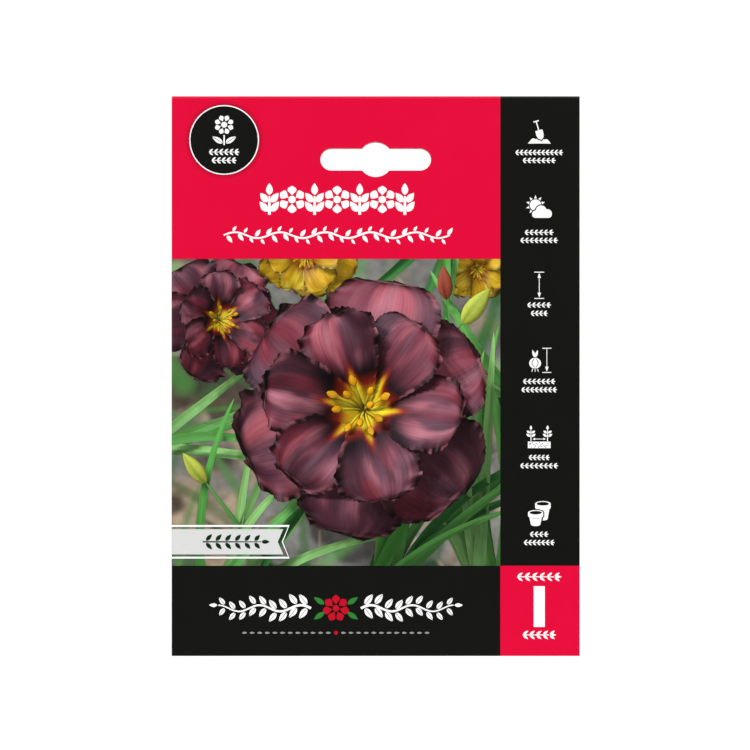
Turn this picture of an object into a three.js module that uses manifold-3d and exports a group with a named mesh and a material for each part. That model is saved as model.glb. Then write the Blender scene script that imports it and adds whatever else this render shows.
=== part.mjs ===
// A hanging pack that sells one bare-root daylily: a folded, printed board card with a euro slot,
// and behind it a clear film pouch that holds the dormant plant in its packing of moist fibre.
//
// Millimetres, +Z up. The card's front face is the plane y = 0 and looks along -Y; the pouch swells
// towards +Y. The origin is the top middle of the hang slot, where the shop's peg bears on the card.

import * as THREE from 'three';
import { mergeVertices } from 'three/addons/utils/BufferGeometryUtils.js';
import Module from 'manifold-3d';

const wasm = await Module();
wasm.setup();

// ---- Driving dimensions -------------------------------------------------------------------------

// Folded card
const CARD_WIDTH = 118;
const CARD_HEIGHT = 162;
const BOARD = 0.5; // thickness of the board
const FOLD_GAP = 1.2; // clear space between the front panel and the rear leaf
const LEAF_HEIGHT = 47.2; // the rear leaf, measured down from the fold

// Euro hang slot, cut through both leaves
const SLOT_WIDTH = 32;
const SLOT_BAR = 6.4; // height of its straight part
const SLOT_EYE = 10.1; // diameter of its round middle
const SLOT_DROP = 18.4; // from the card's top edge to the slot's centre line

// Film bag, measured in drops below the card's top edge
const FILM = 0.5;
const SEAT = 0.3; // space left between pieces that touch
const BAG_WIDTH = 108;
const BAG_TOP = 26.5; // its header is held between the leaves of the card
const BAG_BOTTOM = 158;
const POUCH_WIDTH = 94; // between the side seals
const POUCH_TOP = 50;
const POUCH_BOTTOM = 151;
const POUCH_BULGE = 27; // how far the pouch swells at its fullest place
const WELD_SIDE = 2; // width of the weld inside each side seal
const WELD_TOP = 2.5;
const WELD_FOOT = 1.5;
const SLIT = 0.12; // least depth of the pouch's inside, at its welds
const VENT_DIAMETER = 5;
const VENT_SIDES = 12;
const VENT_COLUMN = 27; // the vents' distance from the middle line
const VENT_DROPS = [72, 102, 132];

// Packing fibre
const FILL_TOP = 70;
const FILL_SIDE_OFF = 3.2; // from the side seals
const FILL_FOOT_OFF = 2.4; // from the foot seal
const FILL_LEAST = 0.4; // its least thickness
const FILL_ROOM = 0.1; // room round the plant, beyond the seat
const FILL_BACK_OFF = 2.4; // how far the fibre lies back from the film where the roots press on it
const FILL_CORNER_OFF = 1.3; // and along the seals, whose sharp corners it doesn't fill

// Plant
const CROWN_DROP = 79;
const SHOOT_APART = 13; // between the middles of the two shoots
const CROWN_LOBE = [15.6, 12.5, 14]; // across, deep, high, of the crown under each shoot
const ROOTS_OUTER = 10; // roots against the film
const ROOTS_INNER = 4; // roots deeper in the fibre
const ROOT_SIDES = 7;
const ROOT_RINGS = 10;
const ROOT_SHORTEST = 48;
const ROOT_LONGEST = 66;
const ROOT_THINNEST = 2; // the radius that a root's swellings are shares of
const ROOT_THICKEST = 3;
const ROOT_LEAST = 0.75; // radius of a root's tip
const ROOT_SWAY = 5;
const SPREAD_OUTER = 2; // angle in radians of the fan that the outer roots share out evenly
const SPREAD_INNER = 1.2;
const FAN_BLADES = 6; // cut-back leaves in each of the two shoots
const FAN_SPREAD = 0.72; // angle in radians from a fan's first leaf to its last
const FAN_TILT = 0.15; // how far each fan leans outwards
const FAN_SUNK = 1.2; // how far the leaves' feet sink into the crown
const BLADE = 0.8; // thickness of a leaf
const BLADE_LENGTH = 19;
const BLADE_WIDTH = 5.6;
const BLADE_KEEL = 1.1; // height of the fold along its middle
const BLADE_LAYER = 0.62; // how far leaves lie in front of and behind the fan's middle

// ---- Shared tools -------------------------------------------------------------------------------

const CARD_TOP = SLOT_DROP - SLOT_EYE / 2; // height of the card's top edge over the origin
const CARD_BACK = 2 * BOARD + FOLD_GAP; // how far back the rear leaf's outer face lies
const BAG_FRONT = BOARD + SEAT;
const FLAT_WITHIN = 0.012; // faces this flat are drawn as one

const heightOf = (drop) => CARD_TOP - drop;
const smooth = (t) => {
  const s = THREE.MathUtils.clamp(t, 0, 1);
  return s * s * (3 - 2 * s);
};

// A repeatable stream of numbers from 0 to 1.
function stream(seed) {
  let state = seed;
  return () => {
    state = (state + 0x6d2b79f5) | 0;
    let mixed = Math.imul(state ^ (state >>> 15), 1 | state);
    mixed = (mixed + Math.imul(mixed ^ (mixed >>> 7), 61 | mixed)) ^ mixed;
    return ((mixed ^ (mixed >>> 14)) >>> 0) / 4294967296;
  };
}

// The same geometry with each point moved by place(point).
function shaped(geometry, place) {
  const position = geometry.getAttribute('position');
  const point = new THREE.Vector3();
  for (let i = 0; i < position.count; i += 1) {
    place(point.fromBufferAttribute(position, i));
    position.setXYZ(i, point.x, point.y, point.z);
  }
  return geometry;
}

function solidOf(geometry) {
  const bare = geometry.index ? geometry.toNonIndexed() : geometry.clone();
  bare.deleteAttribute('normal');
  bare.deleteAttribute('uv');
  const merged = mergeVertices(bare, 1e-4);
  return new wasm.Manifold(new wasm.Mesh({
    numProp: 3,
    vertProperties: merged.getAttribute('position').array,
    triVerts: new Uint32Array(merged.index.array),
  }));
}

function geometryOf(solid) {
  const mesh = solid.asOriginal().simplify(FLAT_WITHIN).getMesh();
  const geometry = new THREE.BufferGeometry();
  geometry.setAttribute('position', new THREE.BufferAttribute(mesh.vertProperties, 3));
  geometry.setIndex(new THREE.BufferAttribute(mesh.triVerts, 1));
  geometry.computeVertexNormals();
  return geometry;
}

const joined = (solids) => solids.reduce((whole, solid) => whole.add(solid));

function part(name, geometry, colour, roughness, extra = {}) {
  const material = new THREE.MeshStandardMaterial({ color: colour, roughness, metalness: 0, ...extra });
  const mesh = new THREE.Mesh(geometry, material);
  mesh.name = name;
  return mesh;
}

// ---- Card ---------------------------------------------------------------------------------------

// The board's section, seen from the side: front panel, fold over the top, rear leaf.
function cardSection() {
  const outer = CARD_BACK / 2;
  const inner = FOLD_GAP / 2;
  const bend = CARD_TOP - outer;
  const section = new THREE.Shape();
  section.moveTo(0, heightOf(CARD_HEIGHT));
  section.lineTo(BOARD, heightOf(CARD_HEIGHT));
  section.lineTo(BOARD, bend);
  section.absarc(outer, bend, inner, Math.PI, 0, true);
  section.lineTo(BOARD + FOLD_GAP, heightOf(LEAF_HEIGHT));
  section.lineTo(CARD_BACK, heightOf(LEAF_HEIGHT));
  section.lineTo(CARD_BACK, bend);
  section.absarc(outer, bend, outer, 0, Math.PI, false);
  section.closePath();
  return section;
}

// The slot's cutter: a bar with round ends and a round eye, running through both leaves.
function slotCutter() {
  const reach = CARD_BACK * 3;
  const end = SLOT_BAR / 2;
  const run = SLOT_WIDTH / 2 - end;
  const bar = new THREE.Shape();
  bar.absarc(run, 0, end, -Math.PI / 2, Math.PI / 2, false);
  bar.absarc(-run, 0, end, Math.PI / 2, Math.PI * 1.5, false);
  bar.closePath();
  const eye = new THREE.Shape().absarc(0, 0, SLOT_EYE / 2, 0, Math.PI * 2, false);
  const cutters = [bar, eye].map((outline) => {
    const cutter = new THREE.ExtrudeGeometry(outline, {
      depth: reach, bevelEnabled: false, curveSegments: 16,
    });
    cutter.rotateX(Math.PI / 2);
    cutter.translate(0, (reach + CARD_BACK) / 2, heightOf(SLOT_DROP));
    return solidOf(cutter);
  });
  return joined(cutters);
}

function hangCard() {
  const board = new THREE.ExtrudeGeometry(cardSection(), {
    depth: CARD_WIDTH, bevelEnabled: false, curveSegments: 10,
  });
  // The section's own axes become the part's Y and Z, and its depth the part's X.
  board.applyMatrix4(new THREE.Matrix4().makeBasis(
    new THREE.Vector3(0, 1, 0), new THREE.Vector3(0, 0, 1), new THREE.Vector3(1, 0, 0),
  ));
  board.translate(-CARD_WIDTH / 2, 0, 0);
  return part('hang_card', geometryOf(solidOf(board).subtract(slotCutter())), 0xe6093e, 0.45);
}

// ---- Film bag -----------------------------------------------------------------------------------

const BULGE_RISE = 0.9; // a low power fills the pouch's top quickly
const BULGE_FALL = 0.55; // a low power keeps its foot full
const FULLEST = BULGE_RISE / (BULGE_RISE + BULGE_FALL);
const BULGE_SCALE = 1 / (FULLEST ** BULGE_RISE * (1 - FULLEST) ** BULGE_FALL);
const PUCKERS = 7; // folds along each side seal
const PUCKER_DEPTH = 0.9;

// Thickness of the closed bag at a place x across and a drop below the card's top edge.
function bagDepth(x, drop) {
  const across = Math.abs(x) / (POUCH_WIDTH / 2);
  const down = (drop - POUCH_TOP) / (POUCH_BOTTOM - POUCH_TOP);
  if (across >= 1 || down <= 0 || down >= 1) return FILM;
  const arch = (1 - across ** 2.4) ** 0.55;
  const fall = BULGE_SCALE * down ** BULGE_RISE * (1 - down) ** BULGE_FALL;
  const nearSeal = smooth((across - 0.45) / 0.3) * smooth((1 - across) / 0.12);
  const pucker = PUCKER_DEPTH * Math.cos(2 * Math.PI * PUCKERS * down) * nearSeal * fall;
  return FILM + POUCH_BULGE * arch * fall + pucker;
}

// The back of the pouch's inside.
const pouchInside = (x, drop) => BAG_FRONT + bagDepth(x, drop) - FILM;

// A slab on a grid, from front(x, drop) to back(x, drop), for drops from top to bottom.
function slab({ width, top, bottom, columns, rows, front, back }) {
  const box = new THREE.BoxGeometry(1, 1, 1, columns, 1, rows);
  return solidOf(shaped(box, (point) => {
    const x = point.x * width;
    const drop = THREE.MathUtils.lerp(bottom, top, point.z + 0.5);
    point.set(x, point.y < 0 ? front(x, drop) : back(x, drop), heightOf(drop));
  }));
}

function filmBag() {
  const outside = slab({
    width: BAG_WIDTH, top: BAG_TOP, bottom: BAG_BOTTOM, columns: 20, rows: 26,
    front: () => BAG_FRONT,
    back: (x, drop) => BAG_FRONT + bagDepth(x, drop),
  });
  const inside = slab({
    width: POUCH_WIDTH - 2 * WELD_SIDE, top: POUCH_TOP + WELD_TOP, bottom: POUCH_BOTTOM - WELD_FOOT,
    columns: 16, rows: 20,
    front: () => BAG_FRONT + FILM,
    back: (x, drop) => Math.max(pouchInside(x, drop), BAG_FRONT + FILM + SLIT),
  });
  const vents = VENT_DROPS.flatMap((drop) => [-1, 1].map((side) => {
    const vent = new THREE.CylinderGeometry(VENT_DIAMETER / 2, VENT_DIAMETER / 2, POUCH_BULGE, VENT_SIDES);
    vent.translate(side * VENT_COLUMN, BAG_FRONT + FILM * 2 + POUCH_BULGE / 2, heightOf(drop));
    return solidOf(vent);
  }));
  const bag = outside.subtract(inside).subtract(joined(vents));
  return part('film_bag', geometryOf(bag), 0xf2f5f6, 0.08, { transparent: true, opacity: 0.25 });
}

// ---- Plant --------------------------------------------------------------------------------------

// A rod along line(t), t from 0 to 1, with the given radius at each t. grow widens it all round.
function rod(line, radius, rings, grow = 0) {
  const ahead = 0.01;
  const side = new THREE.Vector3(0, 1, 0);
  const cylinder = new THREE.CylinderGeometry(1, 1, 1, ROOT_SIDES, rings);
  return solidOf(shaped(cylinder, (point) => {
    const t = point.y + 0.5;
    const along = line(Math.min(t, 1 - ahead) + ahead).sub(line(Math.min(t, 1 - ahead))).normalize();
    const first = new THREE.Vector3().crossVectors(along, side).normalize();
    const second = new THREE.Vector3().crossVectors(first, along);
    const centre = line(t).addScaledVector(along, t < 0.5 ? -grow : grow);
    const reach = radius(t) + grow;
    point.copy(centre.addScaledVector(first, point.x * reach).addScaledVector(second, point.z * reach));
  }));
}

// Every root as its line and its radius, spread like a fan below the crown.
function roots() {
  const random = stream(41);
  const all = [];
  for (let k = 0; k < ROOTS_OUTER + ROOTS_INNER; k += 1) {
    const outer = k < ROOTS_OUTER;
    const share = outer ? (k + 0.5) / ROOTS_OUTER : (k - ROOTS_OUTER + 0.5) / ROOTS_INNER;
    const lean = (share - 0.5) * (outer ? SPREAD_OUTER : SPREAD_INNER) + (random() - 0.5) * 0.12;
    const length = THREE.MathUtils.lerp(ROOT_SHORTEST, ROOT_LONGEST, random()) * (1 - 0.22 * Math.abs(lean));
    const sway = (random() - 0.5) * ROOT_SWAY;
    const turns = 0.8 + random() * 0.7;
    const thick = THREE.MathUtils.lerp(ROOT_THINNEST, ROOT_THICKEST, random());
    const belly = THREE.MathUtils.lerp(0.45, 0.7, random());
    const start = (share - 0.5) * (SHOOT_APART + CROWN_LOBE[0] * 0.45);
    const radius = (t) => {
      const swelling = 0.42 * Math.exp(-(((t - belly) / 0.2) ** 2));
      const taper = 0.62 * smooth((t - 0.72) / 0.28);
      return Math.max(ROOT_LEAST, thick * (0.72 + swelling - taper));
    };
    const depth = outer ? 0 : 6 + random() * 3;
    const line = (t) => {
      const wave = sway * Math.sin(2 * Math.PI * turns * t) * t;
      const x = start + length * Math.sin(lean) * (t - 0.28 * t * t) + wave;
      const drop = CROWN_DROP + 2 + length * (Math.cos(lean) * t + 0.2 * Math.abs(Math.sin(lean)) * t * t);
      const y = pouchInside(x, drop) - SEAT - 0.45 - thick * 1.14 - depth * smooth(t * 3);
      return new THREE.Vector3(x, Math.max(y, BAG_FRONT + FILM + 4), heightOf(drop));
    };
    all.push({ line, radius });
  }
  return all;
}

// How far back the middle of the crown lies, pressed towards the film by the fibre in front of it.
const crownMiddle = () => pouchInside(SHOOT_APART / 2, CROWN_DROP) - SEAT - 0.9 - CROWN_LOBE[1] / 2;

// The crown, with a lobe under each shoot, and its fleshy roots, grown as one piece.
// grow widens them all round.
function rootstock(grow = 0) {
  const [across, deep, high] = CROWN_LOBE;
  const lobes = [-1, 1].map((side) => solidOf(shaped(new THREE.SphereGeometry(1, 14, 9), (point) => {
    const lump = 1 + 0.05 * Math.sin(5 * point.x + side) * Math.cos(4 * point.z);
    point.set(
      side * SHOOT_APART / 2 + point.x * (across / 2 * lump + grow),
      crownMiddle() + point.y * (deep / 2 * lump + grow),
      heightOf(CROWN_DROP) + point.z * (high / 2 * lump + grow),
    );
  })));
  return joined([...lobes, ...roots().map(({ line, radius }) => rod(line, radius, ROOT_RINGS, grow))]);
}

// One shoot's leaves, cut back to stubs: keeled straps that overlap at the foot and spread upwards.
function leafFan(side, grow = 0) {
  const random = stream(side > 0 ? 7 : 19);
  const foot = { x: side * SHOOT_APART / 2, drop: CROWN_DROP - CROWN_LOBE[2] / 2 + FAN_SUNK };
  const blades = [];
  for (let k = 0; k < FAN_BLADES; k += 1) {
    const share = k / (FAN_BLADES - 1) - 0.5;
    const lean = share * FAN_SPREAD + side * FAN_TILT;
    const length = BLADE_LENGTH - 5 * Math.abs(share) - random() * 2.2;
    const wide = BLADE_WIDTH - random() * 1.2;
    const layer = (k % 2 ? BLADE_LAYER : -BLADE_LAYER) + share * 0.5;
    const strap = new THREE.BoxGeometry(1, 1, 1, 2, 1, 4);
    blades.push(solidOf(shaped(strap, (point) => {
      const t = point.z + 0.5;
      const half = (wide / 2) * (1 - 0.3 * t) + grow;
      const bend = lean * (0.55 + 0.45 * t);
      const reach = length * t + (t < 0.5 ? -1.2 : 0) * (1 - t) + (point.z > 0 ? grow : -grow);
      const keel = BLADE_KEEL * (1 - Math.abs(point.x) * 2) * (1 - 0.35 * t);
      const x = foot.x + Math.sin(bend) * reach + Math.cos(bend) * point.x * 2 * half;
      const drop = foot.drop - Math.cos(bend) * reach + Math.sin(bend) * point.x * 2 * half;
      const rest = THREE.MathUtils.lerp(crownMiddle(), pouchInside(foot.x, foot.drop - 15) * 0.5, smooth(t));
      const thick = (point.y < 0 ? -1 : 1) * (BLADE / 2 + grow);
      point.set(x, rest + layer * (1 - 0.3 * t) + keel + thick, heightOf(drop));
    })));
  }
  return joined(blades);
}

// ---- Packing fibre ------------------------------------------------------------------------------

function packingFill() {
  const lumps = (x, drop) => {
    const swirl = 2 * Math.sin(drop * 0.31);
    return 0.5 + 0.5 * Math.sin(x * 0.61 + swirl) * Math.sin(drop * 0.53 + 1);
  };
  const nearRoots = (x, drop) => smooth((40 - Math.abs(x)) / 12) * smooth((146 - drop) / 14);
  const nearSeals = (x, drop) => Math.max(smooth((Math.abs(x) - 32) / 9), smooth((drop - 137) / 9));
  const bed = slab({
    width: POUCH_WIDTH - 2 * FILL_SIDE_OFF, top: FILL_TOP, bottom: POUCH_BOTTOM - FILL_FOOT_OFF,
    columns: 18, rows: 18,
    front: () => BAG_FRONT + FILM + SEAT,
    back: (x, drop) => {
      const slack = FILL_BACK_OFF * nearRoots(x, drop);
      const backOff = lumps(x, drop) + slack + FILL_CORNER_OFF * nearSeals(x, drop);
      const full = pouchInside(x, drop) - SEAT - FILL_ROOM - backOff;
      return Math.max(full, BAG_FRONT + FILM + SEAT + FILL_LEAST);
    },
  });
  const room = SEAT + FILL_ROOM;
  const hollowed = bed.subtract(rootstock(room)).subtract(leafFan(-1, room)).subtract(leafFan(1, room));
  const largest = hollowed.decompose().sort((a, b) => b.volume() - a.volume())[0];
  return part('packing_fill', geometryOf(largest), 0x4a3222, 0.95);
}

// ---- The pack -----------------------------------------------------------------------------------

const pack = new THREE.Group();
const stock = rootstock();
pack.add(hangCard());
pack.add(filmBag());
pack.add(packingFill());
pack.add(part('crown_and_roots', geometryOf(stock), 0xb48a5a, 0.8));
[[-1, 'leaf_fan_left'], [1, 'leaf_fan_right']].forEach(([side, name]) => {
  const fan = leafFan(side).subtract(rootstock(SEAT));
  const largest = fan.decompose().sort((a, b) => b.volume() - a.volume())[0];
  pack.add(part(name, geometryOf(largest), 0x8fa05a, 0.6));
});

export default pack;
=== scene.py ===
"""The looks of a hanging pack that sells one bare-root daylily.

A folded, printed board card hangs by its slot. Behind it a clear film pouch holds the dormant plant in
moist fibre. Lengths are in millimetres in the part's own frame, with +Z up and the printed face in the
plane y = 0 looking along -Y, and become metres where a mesh is made.
"""

import math
import random

import bmesh
import bpy
import numpy as np
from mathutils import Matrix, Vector
from mathutils.bvhtree import BVHTree
from mathutils.geometry import tessellate_polygon


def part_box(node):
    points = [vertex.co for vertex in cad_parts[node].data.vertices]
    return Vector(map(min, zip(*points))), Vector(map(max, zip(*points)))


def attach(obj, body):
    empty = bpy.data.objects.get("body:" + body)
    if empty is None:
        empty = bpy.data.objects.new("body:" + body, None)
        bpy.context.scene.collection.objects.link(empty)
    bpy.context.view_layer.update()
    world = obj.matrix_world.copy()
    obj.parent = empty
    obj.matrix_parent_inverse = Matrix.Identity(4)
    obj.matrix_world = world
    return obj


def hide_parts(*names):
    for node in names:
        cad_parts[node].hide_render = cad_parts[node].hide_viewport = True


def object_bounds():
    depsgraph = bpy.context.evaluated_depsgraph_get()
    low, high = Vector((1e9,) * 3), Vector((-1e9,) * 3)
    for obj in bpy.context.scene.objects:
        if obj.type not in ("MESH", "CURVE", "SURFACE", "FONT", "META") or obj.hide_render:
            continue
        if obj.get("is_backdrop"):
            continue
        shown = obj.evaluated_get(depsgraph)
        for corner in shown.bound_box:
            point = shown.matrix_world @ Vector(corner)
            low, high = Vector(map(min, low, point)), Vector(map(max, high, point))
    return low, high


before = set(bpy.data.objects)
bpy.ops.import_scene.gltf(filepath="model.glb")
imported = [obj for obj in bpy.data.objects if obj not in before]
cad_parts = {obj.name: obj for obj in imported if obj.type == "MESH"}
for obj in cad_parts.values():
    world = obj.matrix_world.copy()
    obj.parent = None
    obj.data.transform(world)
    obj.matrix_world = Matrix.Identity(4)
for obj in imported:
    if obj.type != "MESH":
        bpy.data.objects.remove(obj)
CAD_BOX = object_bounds()

MM = 0.001  # a millimetre in Blender's metres
BODY = "root"

# ---- Sizes ----------------------------------------------------------------------------------------


def span(node):
    """Lowest and highest corner of a node of the frame, in millimetres."""
    return [np.array(corner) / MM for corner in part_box(node)]


CARD_LOW, CARD_HIGH = span("hang_card")
BAG_LOW, BAG_HIGH = span("film_bag")
CARD_LEFT, CARD_RIGHT = CARD_LOW[0], CARD_HIGH[0]
CARD_TOP, CARD_FOOT = CARD_HIGH[2], CARD_LOW[2]
CARD_BACK = CARD_HIGH[1]  # the rear leaf's outer face

BOARD = 0.5  # thickness of the board
FOLD_GAP = CARD_BACK - 2 * BOARD
LEAF_HEIGHT = 47.2  # the rear leaf, measured down from the fold

# Hang slot
SLOT_WIDTH = 32.0
SLOT_BAR = 6.4
SLOT_EYE = 10.1
SLOT_DROP = 18.4

# Fields of the print, measured across from the card's left edge and down from its top
HEADER_FOOT = 47.2
PICTURE_FOOT = 135.9
COLUMN_LEFT = 95.05
COLUMN_MIDDLE = 106.3

# What the studio light makes of a surface: white comes back at STUDIO_GAIN, and a coating adds SHEEN
STUDIO_GAIN = 1.04
SHEEN = 0.006


def linear(red, green, blue):
    """A display colour, from 0 to 255 a channel, as the linear colour that a surface needs."""
    shares = np.array([red, green, blue]) / 255
    low, high = shares / 12.92, ((shares + 0.055) / 1.055) ** 2.4
    return np.maximum(np.where(shares <= 0.04045, low, high) - SHEEN, 0.001) / STUDIO_GAIN


RED = linear(225, 2, 60)
BLACK = linear(26, 26, 24)
WHITE = linear(255, 255, 255)
PANEL_GREY = linear(217, 218, 217)
RIBBON_INK = linear(26, 44, 30)
FAINT_GREY = linear(150, 150, 150)
DEEP_RED = linear(196, 24, 44)
LEAF_PRINT = linear(52, 128, 56)

# ---- Meshes ---------------------------------------------------------------------------------------


def smooth(value):
    """From 0 to 1 with soft ends."""
    held = np.clip(value, 0.0, 1.0)
    return held * held * (3 - 2 * held)


def blend(first, second, share):
    return first + (second - first) * share


def mottle(x, y, size, seed, octaves=3):
    """Smooth random values from 0 to 1 over a plane, with features of about the given size."""
    total = np.zeros(np.broadcast(x, y).shape)
    for octave in range(octaves):
        table = np.random.default_rng(seed + octave).random((64, 64))
        column, row = x / size * 2**octave + 7.3 * octave, y / size * 2**octave + 3.1 * octave
        left, low = np.floor(column).astype(int), np.floor(row).astype(int)
        across, up = smooth(column - left), smooth(row - low)
        corner = lambda a, b: table[(left + a) % 64, (low + b) % 64]
        edge = [blend(corner(a, 0), corner(a, 1), up) for a in (0, 1)]
        total += blend(edge[0], edge[1], across) / 2**octave
    return total / (2 - 2.0 ** (1 - octaves))


def grid_faces(rows, columns, closed=False, start=0):
    """Quads of a grid of points stored row by row. A closed grid's last column meets its first."""
    faces = []
    for row in range(rows - 1):
        for column in range(columns if closed else columns - 1):
            after = (column + 1) % columns
            low, high = start + row * columns, start + (row + 1) * columns
            faces.append((low + column, low + after, high + after, high + column))
    return faces


def piece(name, points, faces, materials, shade_smooth=True):
    """A new piece of the pack that rides on its one body. Points are in millimetres."""
    mesh = bpy.data.meshes.new(name)
    mesh.from_pydata((np.asarray(points, float) * MM).tolist(), [], faces)
    for material in materials:
        mesh.materials.append(material)
    mesh.update()
    made = bpy.data.objects.new(name, mesh)
    bpy.context.scene.collection.objects.link(made)
    mesh.polygons.foreach_set("use_smooth", [shade_smooth] * len(mesh.polygons))
    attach(made, BODY)
    return made


def store_colour(made, name, colours):
    """Keeps a linear colour for each vertex of a piece."""
    layer = made.data.attributes.new(name, "FLOAT_COLOR", "POINT")
    full = np.ones((len(made.data.vertices), 4), np.float32)
    full[:, :3] = np.asarray(colours).reshape(-1, 3)
    layer.data.foreach_set("color", full.ravel())


def store_value(made, name, values):
    """Keeps one number for each vertex of a piece."""
    layer = made.data.attributes.new(name, "FLOAT", "POINT")
    layer.data.foreach_set("value", np.asarray(values, np.float32).ravel())


class Pile:
    """Points, faces and the values kept for each point, gathered for one piece."""

    def __init__(self):
        self.points, self.faces, self.kept, self.count = [], [], {}, 0

    def add(self, points, faces, **kept):
        points = np.asarray(points, float).reshape(-1, 3)
        self.faces += [tuple(self.count + k for k in face) for face in faces]
        self.points.append(points)
        self.count += len(points)
        for name, values in kept.items():
            self.kept.setdefault(name, []).append(np.asarray(values, float).reshape(len(points), -1))

    def loft(self, rings, **kept):
        """A closed solid through rings of points, one after the other."""
        stations, sides = rings.shape[:2]
        last = sides * (stations - 1)
        ends = [tuple(reversed(range(sides))), tuple(last + k for k in range(sides))]
        self.add(rings, [*grid_faces(stations, sides, closed=True), *ends], **kept)

    def make(self, name, material, slot, shade_smooth=True):
        made = piece(name, np.concatenate(self.points), self.faces, [material], shade_smooth)
        for key, values in self.kept.items():
            whole = np.concatenate(values)
            (store_colour if whole.shape[1] == 3 else store_value)(made, key, whole)
        return made


def rework(made, change):
    """Runs change(bmesh) on a piece's mesh."""
    edit = bmesh.new()
    edit.from_mesh(made.data)
    change(edit)
    edit.to_mesh(made.data)
    edit.free()
    made.data.update()


def face_outwards(made):
    rework(made, lambda edit: bmesh.ops.recalc_face_normals(edit, faces=edit.faces))


# ---- Materials ------------------------------------------------------------------------------------

INK_ROUGHNESS = 0.32


class Flow:
    """One output of a material's nodes. Arithmetic on it adds Math nodes."""

    def __init__(self, paint, socket):
        self.paint, self.socket = paint, socket

    def _math(self, operation, *values):
        return self.paint.node("ShaderNodeMath", {"operation": operation}, dict(enumerate(values)))

    def __add__(self, other):
        return self._math("ADD", self, other)

    def __radd__(self, other):
        return self._math("ADD", other, self)

    def __sub__(self, other):
        return self._math("SUBTRACT", self, other)

    def __rsub__(self, other):
        return self._math("SUBTRACT", other, self)

    def __mul__(self, other):
        return self._math("MULTIPLY", self, other)

    def __rmul__(self, other):
        return self._math("MULTIPLY", other, self)

    def __pow__(self, other):
        return self._math("POWER", self, other)

    def over(self, edge):
        """1 where this is above edge, 0 elsewhere."""
        return self._math("GREATER_THAN", self, edge)

    def sine(self):
        return self._math("SINE", self)

    def at_most(self, limit):
        return self._math("MINIMUM", self, limit)


class Paint:
    """A material and the nodes that give it its finish."""

    def __init__(self, name):
        self.material = bpy.data.materials.new(name)
        self.material.use_nodes = True
        self.tree = self.material.node_tree
        self.tree.nodes.clear()
        self.output = self.tree.nodes.new("ShaderNodeOutputMaterial")

    def _socket(self, sockets, key):
        if isinstance(key, int):
            return sockets[key]
        return next(s for s in sockets if key in (s.identifier, s.name))

    def _put(self, socket, value):
        if isinstance(value, Flow):
            self.tree.links.new(value.socket, socket)
        elif socket.type == "RGBA":
            socket.default_value = (*[float(part) for part in value][:3], 1.0)
        else:
            socket.default_value = value

    def node(self, kind, settings=None, inputs=None, out=0):
        """A node of that kind: settings first, with stops for a ramp, then its sockets' values or links."""
        made = self.tree.nodes.new(kind)
        for key, value in (settings or {}).items():
            if key == "stops":
                ramp = made.color_ramp
                while len(ramp.elements) < len(value):
                    ramp.elements.new(0.5)
                for element, (position, colour) in zip(ramp.elements, value):
                    element.position = position
                    element.color = (*[float(part) for part in colour][:3], 1.0)
            else:
                setattr(made, key, value)
        for key, value in (inputs or {}).items():
            self._put(self._socket(made.inputs, key), value)
        return Flow(self, self._socket(made.outputs, out))

    def place(self):
        """Where on the pack a point lies, in metres."""
        return self.node("ShaderNodeTexCoord", out="Object")

    def kept(self, name, out="Fac"):
        """A value or colour that a mesh keeps for each vertex."""
        return self.node("ShaderNodeAttribute", {"attribute_name": name}, out=out)

    def stretched(self, vector, scale):
        return self.node("ShaderNodeVectorMath", {"operation": "MULTIPLY"}, {0: vector, 1: scale})

    def joined(self, x, y, z):
        return self.node("ShaderNodeCombineXYZ", inputs={"X": x, "Y": y, "Z": z})

    def noise(self, vector, scale, detail, rough=0.5):
        return self.node(
            "ShaderNodeTexNoise",
            inputs={"Vector": vector, "Scale": scale, "Detail": detail, "Roughness": rough},
            out="Fac",
        )

    def cells(self, vector, scale):
        return self.node("ShaderNodeTexVoronoi", inputs={"Vector": vector, "Scale": scale}, out="Distance")

    def mix(self, first, second, share):
        """From the first colour to the second."""
        return self.node(
            "ShaderNodeMix",
            {"data_type": "RGBA"},
            {"Factor_Float": share, "A_Color": first, "B_Color": second},
            out="Result_Color",
        )

    def dim(self, colour, share):
        """A colour times a number."""
        return self.node("ShaderNodeVectorMath", {"operation": "SCALE"}, {0: colour, "Scale": share})

    def ramp(self, value, stops):
        return self.node("ShaderNodeValToRGB", {"stops": stops}, {"Fac": value}, out="Color")

    def bump(self, height, depth):
        """A surface that rises by depth millimetres where height is 1."""
        inputs = {"Strength": 1.0, "Distance": depth * MM, "Height": height}
        return self.node("ShaderNodeBump", inputs=inputs)

    def principled(self, inputs):
        return self.node("ShaderNodeBsdfPrincipled", inputs=inputs)

    def finish(self, inputs):
        """Ends the material in one Principled shader with these sockets."""
        return self.show(self.principled(inputs))

    def coated(self, colour, roughness=INK_ROUGHNESS):
        """Ends the material as ink on coated board, with the coating's fine orange peel."""
        peel = self.noise(self.place(), 1300.0, 1.0)
        return self.finish({
            "Base Color": colour,
            "Roughness": roughness + (peel - 0.5) * 0.05,
            "Specular IOR Level": 0.16,
            "Normal": self.bump(peel, 0.012),
        })

    def show(self, shader):
        self.tree.links.new(shader.socket, self.output.inputs["Surface"])
        return self.material


def ink(name, colour, roughness=INK_ROUGHNESS, uneven=0.02):
    """Ink in an even tone, with a breath of mottling."""
    paint = Paint(name)
    cloud = paint.noise(paint.place(), 90.0, 3.0)
    tone = paint.mix(colour * (1 - uneven), colour * (1 + uneven), cloud)
    return paint.coated(tone, roughness + (cloud - 0.5) * 0.08)


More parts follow.
